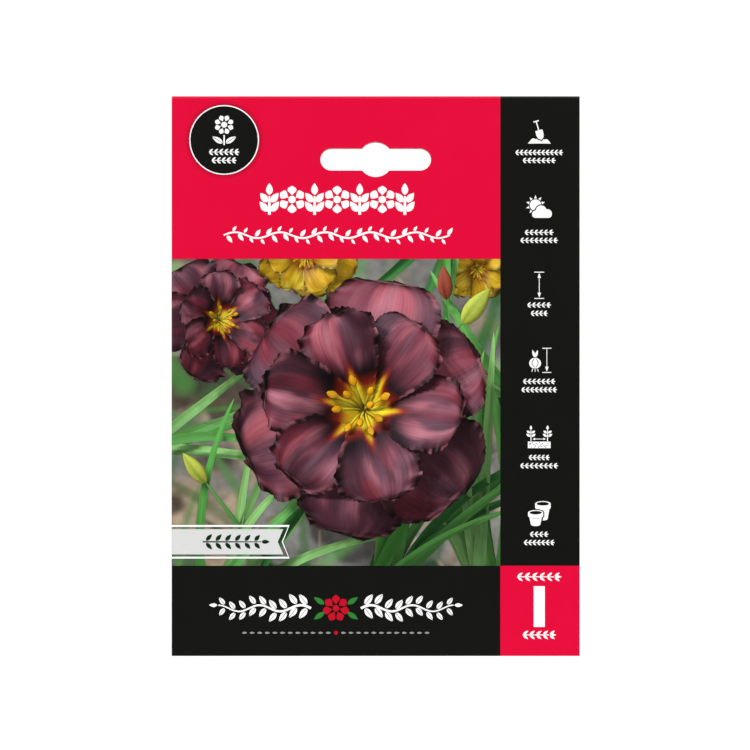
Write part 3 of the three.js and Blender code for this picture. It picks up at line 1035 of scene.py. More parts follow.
def blossom(centre, axis, radius, turn, seed, palette=MAROON, rows=121, columns=49):
    """A full, round blossom: six outer petals, six inner ones between them, and golden stamens."""
    draw = np.random.default_rng(seed)
    axis = np.array(axis) / np.linalg.norm(axis)
    sheets = []
    whorls = [
        # count, share of the radius, lift, turn in pitches, and the petals' shape
        (6, 1.0, 0.0, 0.0, OUTER_PETAL),
        (6, 0.76, 0.21, 0.5, INNER_PETAL),
    ]
    for count, share, lift, offset, shape in whorls:
        for k in range(count):
            angle = turn + 2 * math.pi * (k + offset + draw.uniform(-0.1, 0.1)) / count
            varied = {key: value * draw.uniform(0.85, 1.15) for key, value in shape.items()}
            high = radius * (lift + 0.035 * math.sin(2.4 * k + seed))
            length = radius * share * draw.uniform(0.93, 1.05)
            start = np.array(centre) + axis * high
            number = len(sheets) + seed * 0.37
            petal = petal_sheet(start, axis, length, angle, varied, draw, number, palette, rows, columns)
            sheets.append(petal)
    heart = np.array(centre) + axis * radius * 0.06
    for k in range(11):
        angle, lean = k * 2.399963, 0.12 + 0.46 * math.sqrt((k + 0.5) / 11)
        sheets += stamen(heart, axis, radius * draw.uniform(0.27, 0.34), angle, lean, draw)
    return sheets


def stamen(centre, axis, length, turn, lean, draw):
    """A golden filament with a darker anther at its tip."""
    first = np.cross(axis, (0.0, 0.0, 1.0))
    first /= np.linalg.norm(first)
    second = np.cross(first, axis)
    out = first * math.cos(turn) + second * math.sin(turn)
    shares, turns = np.sin(np.linspace(0, math.pi / 2, 13)), np.linspace(0, 2 * math.pi, 9)
    t, ring = np.meshgrid(shares, turns, indexing="ij")
    base = np.array(centre) - axis * length * 0.25
    bend = lean * (0.4 + 0.85 * t)
    away, up = length * 1.25 * t * np.sin(bend), length * 1.3 * t * np.cos(bend)
    line = base + away[..., None] * out + up[..., None] * axis
    thick = length * (0.032 + 0.07 * np.exp(-(((t - 0.9) / 0.08) ** 2))) * np.sqrt(1.001 - t**24)
    side = np.cross(axis, out)
    points = line + (thick * np.cos(ring))[..., None] * side + (thick * np.sin(ring))[..., None] * out
    anther = smooth((t - 0.8) / 0.06)
    colour = blend(linear(238, 208, 50), linear(206, 148, 24) * draw.uniform(0.8, 1.2), anther[..., None])
    return [Sheet(points, t, ring / 6.3, colour, 3.0, shine=0.4)]


def blade_sheet(path, width, tint, number, keel=0.3, rows=34, columns=7):
    """One long strap leaf along a curve of four control points, with a folded keel."""
    t, across = np.meshgrid(np.linspace(0, 1, rows), np.linspace(-1, 1, columns), indexing="ij")
    knots = np.array(path, float)
    weights = [(1 - t) ** 3, 3 * t * (1 - t) ** 2, 3 * t**2 * (1 - t), t**3]
    line = sum(w[..., None] * knot for w, knot in zip(weights, knots))
    way = np.gradient(line, axis=0)
    way /= np.linalg.norm(way, axis=2)[:, :, None] + 1e-9
    side = np.stack([-way[..., 2], np.zeros_like(t), way[..., 0]], -1)
    side /= np.linalg.norm(side, axis=2)[:, :, None] + 1e-9
    half = width / 2 * np.clip(t * 6 + 0.5, 0, 1) * np.clip(1 - t, 2e-4, 1) ** 0.45
    roll = 0.5 * np.sin(number * 2.1 + 3 * t)
    points = line + (half * across)[..., None] * side
    points[..., 1] += half * (keel * np.abs(across) * 1.4 + roll * across)
    shade, fresh = tint
    colour = blend(shade, fresh, (0.35 + 0.4 * t + 0.25 * (across > 0))[..., None])
    rib = np.exp(-((across / 0.16) ** 2))
    colour = colour * (1 + 0.3 * rib)[..., None]
    return Sheet(points, t * 6, across, colour, number, shine=0.5, glow=0.5)


GREENS = [
    (linear(26, 70, 30), linear(86, 162, 70)),
    (linear(38, 88, 44), linear(112, 184, 92)),
    (linear(20, 52, 26), linear(60, 126, 60)),
    (linear(58, 106, 62), linear(146, 200, 116)),
]


def foliage():
    """Strap leaves that arch in from the picture's edges, behind and beside the blossoms."""
    draw = np.random.default_rng(23)
    left, low, top = PICTURE_LEFT, PICTURE_LOW, PICTURE_TOP
    clumps = [
        # foot x, foot z, direction in degrees, spread, length, depth, count
        (left + 60, low - 10, 62, 46, 66, -20, 11),
        (left + 92, low - 6, 104, 44, 74, -26, 9),
        (left + 14, low - 10, 66, 60, 56, -24, 9),
        (left - 8, low + 34, 18, 44, 52, -34, 6),
        (left + 100, low + 44, 152, 52, 46, -38, 6),
        (left + 78, top + 8, 250, 60, 34, -42, 4),
    ]
    sheets = []
    for foot_x, foot_z, aim, spread, length, depth, count in clumps:
        for k in range(count):
            angle = math.radians(aim + spread * ((k + 0.5) / count - 0.5) + draw.uniform(-6, 6))
            bow = draw.uniform(-0.3, 0.3) + 0.16 * math.cos(angle)
            reach = length * draw.uniform(0.75, 1.15)
            start = np.array([foot_x + draw.uniform(-5, 5), depth + draw.uniform(-7, 7), foot_z])
            way = np.array([math.cos(angle), 0.0, math.sin(angle)])
            across = np.array([-way[2], 0.0, way[0]])
            lift = draw.uniform(2, 14)
            path = [
                start,
                start + way * reach * 0.36 + across * reach * bow * 0.2 + (0, lift * 0.6, 0),
                start + way * reach * 0.7 - across * reach * bow * 0.3 + (0, lift, 0),
                start + way * reach * 0.98 - across * reach * bow * 1.1 + (0, lift * 0.5, 0),
            ]
            tint = GREENS[int(draw.integers(len(GREENS)))]
            sheets.append(blade_sheet(path, draw.uniform(2.6, 4.6), tint, len(sheets) * 1.0))
    return sheets


def bud_sheets(foot, angle, length, width, tint):
    """A closed bud of four overlapping scales on a short stalk, pointing at an angle in degrees."""
    turn = math.radians(angle)
    way = np.array([math.cos(turn), 0.25, math.sin(turn)])
    side = np.array([-way[2], 0.0, way[0]])
    sheets = []
    t, ring = np.meshgrid(np.linspace(0, 1, 20), np.linspace(0, math.pi, 17), indexing="ij")
    start = np.array(foot, float)
    thick = width / 2 * np.sin(math.pi * np.clip(t, 0.001, 0.999) ** 0.8) ** 0.8
    points = start + (length * t)[..., None] * way + (thick * np.cos(ring))[..., None] * side
    points[..., 1] += thick * np.sin(ring)
    seam = np.abs(np.sin(ring * 2.0 + 0.5))
    colour = blend(tint[0], tint[1], (0.25 + 0.75 * seam * (1 - 0.4 * t))[..., None])
    sheets.append(Sheet(points, t * 3, np.cos(ring), colour, 2.0, shine=0.6))
    stalk = [start - way * 26 + (4, -4, -6), start - way * 16, start - way * 8, start + way * 1.0]
    sheets.append(blade_sheet(stalk, 1.7, GREENS[1], 9.0, keel=1.0, rows=16, columns=5))
    return sheets


def light_sheets(sheets):
    """Lights each sheet's points with the picture's own sun and sky, with the shadows they cast."""
    corners, faces, start = [], [], 0
    for sheet in sheets:
        rows, columns, _ = sheet.points.shape
        corners.append(sheet.points.reshape(-1, 3))
        faces += grid_faces(rows, columns, start=start)
        start += rows * columns
    tree = BVHTree.FromPolygons(np.concatenate(corners).tolist(), faces)
    draw = np.random.default_rng(3)
    sun_rays = [SUN + draw.normal(0, 0.07, 3) for _ in range(7)]
    sky_rays = draw.normal(0, 1, (12, 3))
    sky_rays /= np.linalg.norm(sky_rays, axis=1)[:, None]
    far = 28.0
    for sheet in sheets:
        normals = sheet.normal.reshape(-1, 3)
        points = sheet.points.reshape(-1, 3) + normals * 0.22
        sun, sky = np.zeros(len(points)), np.zeros(len(points))
        for index, (point, normal) in enumerate(zip(points, normals)):
            origin = Vector(point)
            open_sun = sum(tree.ray_cast(origin, Vector(ray), 60.0)[0] is None for ray in sun_rays)
            sun[index] = open_sun / len(sun_rays)
            seen = 0.0
            for ray in sky_rays:
                way = ray if ray @ normal > 0 else -ray
                hit = tree.ray_cast(origin, Vector(way), far)
                seen += 1.0 if hit[0] is None else (hit[3] / far) ** 0.7
            sky[index] = seen / len(sky_rays)
        shape = sheet.points.shape[:2]
        sun, sky = sun.reshape(shape), sky.reshape(shape)
        facing = sheet.normal @ SUN
        through = sheet.glow * np.clip(0.5 - facing, 0, 1)
        halfway = SUN + np.array([0, 1.0, 0])
        halfway /= np.linalg.norm(halfway)
        sheen = np.clip(sheet.normal @ halfway, 0, 1) ** 14 * sheet.shine * sun
        lit = 0.42 * sky**1.3 + 1.0 * sun * np.clip(facing, 0, 1) + through * 0.4 * sky
        haze = linear(206, 176, 198) if sheet.shine >= 1 else linear(220, 236, 214)
        tone = sheet.colour * lit[..., None] + haze * (0.12 * sheen)[..., None]
        sheet.tone = np.clip(tone, 0.0, 0.95)


def trim_to_picture(made):
    """Cuts away what reaches over the picture's edges."""
    edges = [
        ((PICTURE_LEFT, 0), (-1, 0)), ((PICTURE_RIGHT, 0), (1, 0)),
        ((0, PICTURE_LOW), (0, -1)), ((0, PICTURE_TOP), (0, 1)),
    ]

    def cut(edit):
        for (x, z), (way_x, way_z) in edges:
            bmesh.ops.bisect_plane(
                edit, geom=[*edit.verts, *edit.edges, *edit.faces], dist=1e-7,
                plane_co=(x * MM, 0, z * MM), plane_no=(way_x, 0, way_z), clear_outer=True,
            )

    rework(made, cut)


def press_flat(name, sheets, material):
    """One piece of the picture: its sheets pressed into the relief."""
    made = Pile()
    for sheet in sheets:
        rows, columns, _ = sheet.points.shape
        flat = sheet.points.reshape(-1, 3).copy()
        near = np.clip((flat[:, 1] - FURTHEST) / (NEAREST - FURTHEST), 0, 1)
        flat[:, 1] = -(GROUND_LEVEL + 0.015 + RELIEF * near)
        made.add(
            flat, grid_faces(rows, columns), tone=sheet.tone,
            along=sheet.along, across=sheet.across, kind=np.full(rows * columns, sheet.kind),
        )
    trim_to_picture(made.make(name, material, "printed_board"))


STRAWS = [(linear(132, 114, 88), linear(232, 220, 190))]


def soft_strokes(x, z, colours, seed, count, width, blur, strength, tones, reaches=(26, 60)):
    """Blades or straws that lie out of focus, painted over the ground's colours."""
    draw = np.random.default_rng(seed)
    t = np.linspace(0, 1, 14)
    for _ in range(count):
        start_x = draw.uniform(PICTURE_LEFT - 5, PICTURE_RIGHT + 5)
        start_z = draw.uniform(PICTURE_LOW - 12, PICTURE_TOP - 10)
        angle = draw.uniform(0.1, 0.9) * math.pi
        reach, bow = draw.uniform(*reaches), draw.uniform(-0.3, 0.3)
        line_x = start_x + reach * t * math.cos(angle) - reach * bow * t * t * math.sin(angle)
        line_z = start_z + reach * t * math.sin(angle) + reach * bow * t * t * math.cos(angle)
        half = width * draw.uniform(0.6, 1.3) * (1 - t) ** 0.4
        nearest = np.full(x.shape, 1e9)
        for k in range(len(t) - 1):
            run_x, run_z = line_x[k + 1] - line_x[k], line_z[k + 1] - line_z[k]
            share = ((x - line_x[k]) * run_x + (z - line_z[k]) * run_z) / (run_x**2 + run_z**2)
            share = np.clip(share, 0, 1)
            away = np.hypot(x - line_x[k] - share * run_x, z - line_z[k] - share * run_z)
            nearest = np.minimum(nearest, away - blend(half[k], half[k + 1], share))
        mask = smooth((blur - nearest) / (2 * blur)) * strength * draw.uniform(0.5, 1.0)
        shade, fresh = tones[int(draw.integers(len(tones)))]
        tone = blend(shade, fresh, draw.uniform(0.1, 0.9)) * draw.uniform(0.5, 1.1)
        colours = blend(colours, tone, mask[..., None])
    return colours


def picture_ground():
    """What lies behind the pictured plants: grey soil out of focus, dappled, with blurred blades."""
    columns, rows = 241, 225
    across = np.linspace(PICTURE_LEFT, PICTURE_RIGHT, columns)
    up = np.linspace(PICTURE_LOW, PICTURE_TOP, rows)
    x, z = np.meshgrid(across, up)
    grey, tan, dark = linear(122, 121, 118), linear(162, 144, 122), linear(34, 30, 28)
    clods = 0.55 * mottle(x, z, 8.0, 31) + 0.45 * mottle(x, z, 2.2, 35, 2)
    colours = blend(grey, tan, (smooth((mottle(x, z, 15.0, 41) - 0.48) / 0.26))[..., None])
    colours = colours * (0.35 + 1.25 * clods)[..., None]
    shade = smooth((mottle(x, z, 14.0, 51, 2) - 0.46) / 0.16)
    colours = blend(colours, dark, (shade * 0.75)[..., None])
    colours = soft_strokes(x, z, colours, 61, 16, 2.4, 2.2, 0.7, GREENS)
    colours = soft_strokes(x, z, colours, 63, 44, 0.65, 0.55, 0.9, STRAWS, (5, 20))
    colours = soft_strokes(x, z, colours, 67, 16, 1.6, 0.9, 0.9, GREENS)
    points = np.stack([x, np.full(x.shape, -GROUND_LEVEL), z], -1).reshape(-1, 3)
    soil = toned("picture_ground_ink")
    made = piece("picture_ground", points, grid_faces(rows, columns), [soil])
    store_colour(made, "tone", colours)


def picture():
    """The printed picture: round maroon blossoms, golden ones behind them, and buds among strap leaves."""
    place = lambda across, down, depth: (at(across, down)[0], depth, at(across, down)[1])
    main = blossom(place(56.0, 91.0, 0.0), (-0.16, 1.0, 0.12), 38.5, 0.35, 4)
    side = blossom(place(13.0, 65.0, -24.0), (0.42, 1.0, 0.1), 19.0, 0.1, 9, rows=71, columns=31)
    golden = blossom(place(39.0, 45.5, -40.0), (-0.2, 1.0, -0.4), 15.0, 0.6, 21, GOLDEN, 51, 25)
    golden += blossom(place(88.0, 49.5, -44.0), (0.2, 1.0, -0.5), 11.0, 0.2, 23, GOLDEN, 41, 21)
    green_bud = (linear(104, 130, 40), linear(196, 204, 84))
    red_bud = (linear(96, 30, 36), linear(170, 84, 62))
    buds = bud_sheets(place(84.0, 66.0, -14.0), 52, 13.0, 5.6, green_bud)
    buds += bud_sheets(place(79.5, 59.0, -20.0), 96, 10.0, 4.4, red_bud)
    buds += bud_sheets(place(10.0, 112.0, -16.0), 128, 11.0, 4.6, green_bud)
    leaves = foliage()
    light_sheets([*main, *side, *golden, *buds, *leaves])
    petals = streaked("picture_petal_ink", 34.0, 0.64)
    greens = streaked("picture_leaf_ink", 14.0, 0.42)
    picture_ground()
    press_flat("picture_leaves", leaves, greens)
    press_flat("picture_blossoms_golden", golden, petals)
    press_flat("picture_buds", buds, greens)
    press_flat("picture_blossom_small", side, petals)
    press_flat("picture_blossom_large", main, petals)


# ---- Pouch ----------------------------------------------------------------------------------------
# Behind the card, places are given as x across and as a drop below the card's top edge.

FILM = 0.5  # thickness of the bag where it is sealed
SEAT = 0.3  # space left between pieces that touch
WALL = 0.12  # thickness of one wall of the film
BAG_FRONT = BAG_LOW[1]
BAG_TOP, BAG_BOTTOM = CARD_TOP - BAG_HIGH[2], CARD_TOP - BAG_LOW[2]
BAG_SIDE = BAG_HIGH[0]
POUCH_SIDE = 47.0
POUCH_TOP, POUCH_BOTTOM = 50.0, 151.0
POUCH_BULGE = 27.0
BULGE_RISE, BULGE_FALL = 0.9, 0.55
FULLEST = BULGE_RISE / (BULGE_RISE + BULGE_FALL)
BULGE_SCALE = 1 / (FULLEST**BULGE_RISE * (1 - FULLEST) ** BULGE_FALL)
PUCKERS, PUCKER_DEPTH = 7, 0.9
VENT_RADIUS, VENT_COLUMN, VENT_DROPS = 2.5, 27.0, (72.0, 102.0, 132.0)

GRID_X, GRID_DROP = np.meshgrid(np.arange(-54.0, 55.0), np.arange(26.0, 159.0))  # 1 mm steps


def bag_depth(x, drop):
    """Thickness of the closed bag."""
    across = np.abs(x) / POUCH_SIDE
    down = (drop - POUCH_TOP) / (POUCH_BOTTOM - POUCH_TOP)
    held = np.clip(down, 0, 1)
    arch = (1 - np.clip(across, 0, 1) ** 2.4) ** 0.55
    fall = BULGE_SCALE * held**BULGE_RISE * (1 - held) ** BULGE_FALL
    near_seal = smooth((across - 0.45) / 0.3) * smooth((1 - across) / 0.12)
    pucker = PUCKER_DEPTH * np.cos(2 * math.pi * PUCKERS * down) * near_seal * fall
    return FILM + POUCH_BULGE * arch * fall + pucker


def pouch_inside(x, drop):
    """The back of the pouch's inside."""
    return BAG_FRONT + bag_depth(x, drop) - FILM


def behind(x, y, drop):
    """Points of the frame for places given by their drop."""
    return np.stack(np.broadcast_arrays(x, y, CARD_TOP - drop), -1)


def read(depths, x, drop):
    """A depth between the points of the 1 mm grid."""
    column = np.clip(x - GRID_X[0, 0], 0, GRID_X.shape[1] - 1.001)
    row = np.clip(drop - GRID_DROP[0, 0], 0, GRID_X.shape[0] - 1.001)
    left, high = column.astype(int), row.astype(int)
    across, down = column - left, row - high
    upper = blend(depths[high, left], depths[high, left + 1], across)
    lower = blend(depths[high + 1, left], depths[high + 1, left + 1], across)
    return blend(upper, lower, down)


def press(depths, rings):
    """Raises the grid's depths to hold rings of points, such as a root's."""
    points = rings.reshape(-1, 3)
    column = np.clip(np.rint(points[:, 0] - GRID_X[0, 0]).astype(int), 0, GRID_X.shape[1] - 1)
    row = np.clip(np.rint(CARD_TOP - points[:, 2] - GRID_DROP[0, 0]).astype(int), 0, GRID_X.shape[0] - 1)
    np.maximum.at(depths, (row, column), points[:, 1])


def round_vents(x, drop):
    """Moves a film grid's points about each vent so that a ring of them lies on its edge."""
    hole, reach = 2.0, 6.0
    for centre_x in (-VENT_COLUMN, VENT_COLUMN):
        for centre_drop in VENT_DROPS:
            across, down = x - centre_x, drop - centre_drop
            square = np.maximum(np.abs(across), np.abs(down))
            ring = np.hypot(across, down) + 1e-9
            scale = (VENT_RADIUS + square - hole) / ring
            share = smooth((square - hole) / (reach - hole))
            scale = np.where(square < reach, blend(scale, 1.0, share), 1.0)
            x, drop = centre_x + across * scale, centre_drop + down * scale
    return x, drop


def in_vent(x, drop):
    """Whether the cell of the grid whose middle this is lies in a vent."""
    return any(
        abs(x - side * VENT_COLUMN) < 2 and abs(drop - vent) < 2 for side in (-1, 1) for vent in VENT_DROPS
    )


def wrinkles(x, drop):
    """Folds of the slack film from its corners, along its seals and below the card, and fine creases."""
    crease = lambda field, sharp: (1 - np.abs(2 * field - 1)) ** sharp
    total = np.zeros(x.shape)
    warp = mottle(x, drop, 16.0, 5)
    for side in (-1, 1):
        for corner, strength in ((POUCH_TOP, 0.75), (POUCH_BOTTOM, 1.0)):
            away, down = side * POUCH_SIDE - x, corner - drop
            far, turn = np.hypot(away, down), np.arctan2(down, away)
            fold = np.cos(15 * turn + 5 * warp)
            total += strength * 0.55 * fold * np.exp(-(((far - 15) / 12) ** 2))
    gathers = np.sin(x * 0.62 + 5 * mottle(x, drop * 0.3, 13.0, 9))
    total += 0.7 * (gathers * smooth((70 - drop) / 14) * smooth((drop - 49) / 6))
    edge = smooth((np.abs(x) - 30) / 10) * smooth((POUCH_SIDE - np.abs(x)) / 5)
    total += 0.32 * np.sin(drop * 1.15 + 6 * mottle(x * 0.4, drop, 9.0, 15)) * edge
    broad = crease(mottle(x, drop, 15.0, 21, 2), 7)
    fine = crease(mottle(x * 1.3, drop * 0.8, 7.5, 25, 2), 6)
    total += 0.6 * broad + 0.5 * fine
    total -= 0.3 * crease(mottle(x * 0.8, drop * 1.2, 11.0, 29, 2), 6)
    return total


def spanned(depths):
    """The grid's depths as a taut film spans them: over the high places, and smooth between them."""
    high = depths
    for _ in range(2):
        high = np.maximum.reduce([np.roll(high, step, axis) for step in (-1, 0, 1) for axis in (0, 1)])
    for _ in range(5):
        high = sum(np.roll(high, step, axis) for step in (-1, 1) for axis in (0, 1)) / 4
    return high


def slack_film(contents):
    """How far back the film lies: drawn in over what it holds, and creased."""
    loose = BAG_FRONT + bag_depth(GRID_X, GRID_DROP)
    least = np.maximum(spanned(contents), contents) + 0.2
    inner = (np.abs(GRID_X) < POUCH_SIDE) & (GRID_DROP > POUCH_TOP) & (GRID_DROP < POUCH_BOTTOM)
    tight = loose.copy()
    for _ in range(260):
        around = sum(np.roll(tight, step, axis) for step in (-1, 1) for axis in (0, 1)) / 4
        tight = np.where(inner, np.maximum(around, least), tight)
    free = np.minimum(smooth((POUCH_SIDE - np.abs(GRID_X)) / 5), smooth((POUCH_BOTTOM - GRID_DROP) / 5))
    free = np.minimum(free, smooth((GRID_DROP - POUCH_TOP) / 6))
    made = blend(loose, tight, 0.62) + wrinkles(GRID_X, GRID_DROP) * free
    made = np.where(inner, np.maximum(made, least), made)
    return np.minimum(made, np.minimum(loose + 0.6, BAG_HIGH[1] + 0.3))


def film_pouch(contents):
    """The clear pouch: two sheets welded along their edges, as one closed wall with six round vents."""
    back = slack_film(contents)
    made = Pile()
    outer_x = np.linspace(-BAG_SIDE, BAG_SIDE, 109)
    outer_drop = np.concatenate([[BAG_TOP], np.linspace(27.0, BAG_BOTTOM, 132)])
    inner_x, inner_drop = np.arange(-46.0, 47.0), np.arange(52.0, 151.0)
    starts, rims = [], []
    for columns, rows, wall in ((outer_x, outer_drop, 0.0), (inner_x, inner_drop, WALL)):
        x, drop = np.meshgrid(columns, rows)
        shape = x.shape
        moved_x, moved_drop = round_vents(x, drop)
        curl = 1.3 * smooth((np.abs(x) - 45) / 14) * smooth((drop - 128) / 40)
        waves = 0.12 * smooth((np.abs(x) - POUCH_SIDE) / 4) * np.sin(drop * 0.33 + x)
        lift = (curl + waves) * (drop > POUCH_TOP)
        depth = read(back, moved_x, moved_drop)
        front = np.full(shape, BAG_FRONT + wall) + lift * (wall == 0)
        weld = BAG_FRONT + 0.2 + lift
        free = np.maximum(depth - wall, weld + 0.1 * (wall == 0))
        depth = np.where(bag_depth(x, drop) <= FILM + 1e-6, weld, free)
        depth = np.where((np.abs(x) <= 46) & (drop > POUCH_TOP), depth, np.minimum(depth, weld + 0.4))
        depth = np.maximum(depth, front + 0.15)
        inside = smooth((POUCH_SIDE + 0.5 - np.abs(x)) / 1.5) * smooth((POUCH_BOTTOM + 0.5 - drop) / 1.5)
        seal = (1 - inside * smooth((drop - POUCH_TOP + 0.5) / 1.5)) * (wall == 0)
        cells = grid_faces(*shape)
        middle = [(x.flat[f[0]] + 0.5, drop.flat[f[0]] + 0.5) for f in cells]
        open_cells = [f for f, m in zip(cells, middle) if not in_vent(*m)]
        rims.append([f for f, m in zip(cells, middle) if in_vent(*m)])
        starts.append(made.count)
        size = shape[0] * shape[1]
        made.add(behind(moved_x, depth, moved_drop), open_cells, seal=seal)
        made.add(behind(x, front, drop), [tuple(reversed(f)) for f in cells], seal=seal)
        rim = [*range(0, shape[1]), *range(2 * shape[1] - 1, size, shape[1])]
        rim += [*range(size - 2, size - shape[1] - 1, -1), *range(size - 2 * shape[1], 0, -shape[1])]
        first = starts[-1]
        made.faces += [
            (first + a, first + b, first + size + b, first + size + a) for a, b in zip(rim, rim[1:] + rim[:1])
        ]
    # Each vent's edge joins the outer skin to the inner one.
    outer_edges, inner_edges = (vent_edges(cells) for cells in rims)
    for (a, b), (c, d) in zip(outer_edges, inner_edges):
        made.faces.append((starts[0] + a, starts[0] + b, starts[1] + d, starts[1] + c))
    pouch = made.make("film_pouch", clear_film(), "clear_film")
    face_outwards(pouch)
    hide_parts("film_bag")


def vent_edges(cells):
    """The edges round the vents, in the order of their cells."""
    edges = [(f[k], f[(k + 1) % 4]) for f in cells for k in range(4)]
    known = set(edges)
    return [edge for edge in edges if edge[::-1] not in known]


def clear_film():
    """Clear, slightly hazy film that shines, with fine ribs where it is welded."""
    paint = Paint("clear_film")
    place = paint.place()
    seal = paint.kept("seal")
    height = paint.node("ShaderNodeSeparateXYZ", inputs={0: place}, out="Z")
    ribs = (height * (2 * math.pi / (1.3 * MM))).sine()
    crinkle = paint.noise(place, 130.0, 2.5, 0.45)
    relief = paint.bump(crinkle * 3.2 + ribs * seal * 0.5, 0.13)
    facing = paint.node("ShaderNodeLayerWeight", inputs={"Blend": 0.5, "Normal": relief}, out="Facing")
    haze = paint.noise(place, 60.0, 2.0) * 0.01 + seal * 0.06 + 0.008
    wall = paint.principled({
        "Base Color": (0.94, 0.96, 0.97), "Metallic": 0.55, "Roughness": 0.17, "Normal": relief,
    })
    clear = paint.node("ShaderNodeBsdfTransparent", inputs={"Color": (1.0, 1.0, 1.0)})
    share = haze + facing**4 * 0.5
    return paint.show(paint.node("ShaderNodeMixShader", inputs={0: share, 1: clear, 2: wall}))


# ---- Packing fibre --------------------------------------------------------------------------------

FILL_TOP, FILL_FOOT, FILL_SIDE = 70.0, POUCH_BOTTOM - 2.4, POUCH_SIDE - 3.2
FILL_BACK_OFF, FILL_CORNER_OFF = 2.4, 1.3
SHOULDER, FOOT_SHOULDER = 6.5, 5.0  # reach of the bed's rounding at its sides and at its foot
ON_SIDES, ON_FOOT = 0.28, 0.11  # the shares of its litter that are laid there
OVER_ROOTS = 0.05  # the share of the litter that stays where it lies over a root
STEEPEST = 7.0


def bed_depth(x, drop):
    """How far back the bed of fibre reaches."""
    lumps = 0.5 + 0.5 * np.sin(x * 0.61 + 2 * np.sin(drop * 0.31)) * np.sin(drop * 0.53 + 1)
    near_roots = smooth((40 - np.abs(x)) / 12) * smooth((146 - drop) / 14)
    near_seals = np.maximum(smooth((np.abs(x) - 32) / 9), smooth((drop - 137) / 9))
    back_off = lumps + FILL_BACK_OFF * near_roots + FILL_CORNER_OFF * near_seals
    crumbs = 1.3 * (mottle(x, drop, 2.3, 71) - 0.35) + 0.5 * (mottle(x, drop, 0.9, 75, 2) - 0.5)
    edge = 2.6 * (1 - smooth((drop - FILL_TOP) / 3.5))
    full = pouch_inside(x, drop) - SEAT - 0.1 - back_off - crumbs - edge
    shoulder = np.minimum((FILL_SIDE - np.abs(x)) / SHOULDER, (FILL_FOOT - drop) / FOOT_SHOULDER)
    rounded = np.sqrt(np.clip(1 - (1 - np.clip(shoulder, 0, 1)) ** 2, 0, 1))
    low = BAG_FRONT + 1.2
    return np.maximum(blend(low, full, 0.12 + 0.88 * rounded), low)


def fibre_bed():
    """The bed of moist peat: a crumbly heap that fills the pouch to the shoots' feet."""
    columns, back_rows, shelf_rows = 147, 132, 16
    flat_x = np.linspace(-FILL_SIDE, FILL_SIDE, columns)[:, None]
    crest = FILL_TOP + 2.6 * mottle(flat_x, 0 * flat_x, 6.0, 83)  # the heap's uneven top
    reach = np.linspace(0, 1, back_rows)[None, :]
    drops = blend(crest, FILL_FOOT, reach)
    sides = np.sign(flat_x) * 40 + 0 * drops
    x = flat_x * (1 - 0.035 * mottle(sides, drops, 5.0, 87) - 0.02 * mottle(sides, drops, 1.4, 89, 2))
    back = behind(x, bed_depth(x, drops), drops)
    front = BAG_FRONT + FILM + SEAT
    rim, brink = bed_depth(x[:, :1], crest), x[:, :1]
    share = np.linspace(0, 1, shelf_rows, endpoint=False)[None, :]
    depth = blend(front, rim, share)
    heap = 1.9 * (mottle(brink + depth, depth * 1.3, 3.0, 81) - 0.45)
    heap = heap * smooth(share * 5) * smooth((1 - share) * 4)
    shelf = behind(brink, depth, crest - heap)
    foot = behind(brink, np.full((1, 1), front), np.full((1, 1), FILL_FOOT))
    made = Pile()
    made.loft(np.concatenate([shelf, back, foot], 1))
    bed = made.make("fibre_bed", peat(), "packing_fibre")
    face_outwards(bed)
    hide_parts("packing_fill")


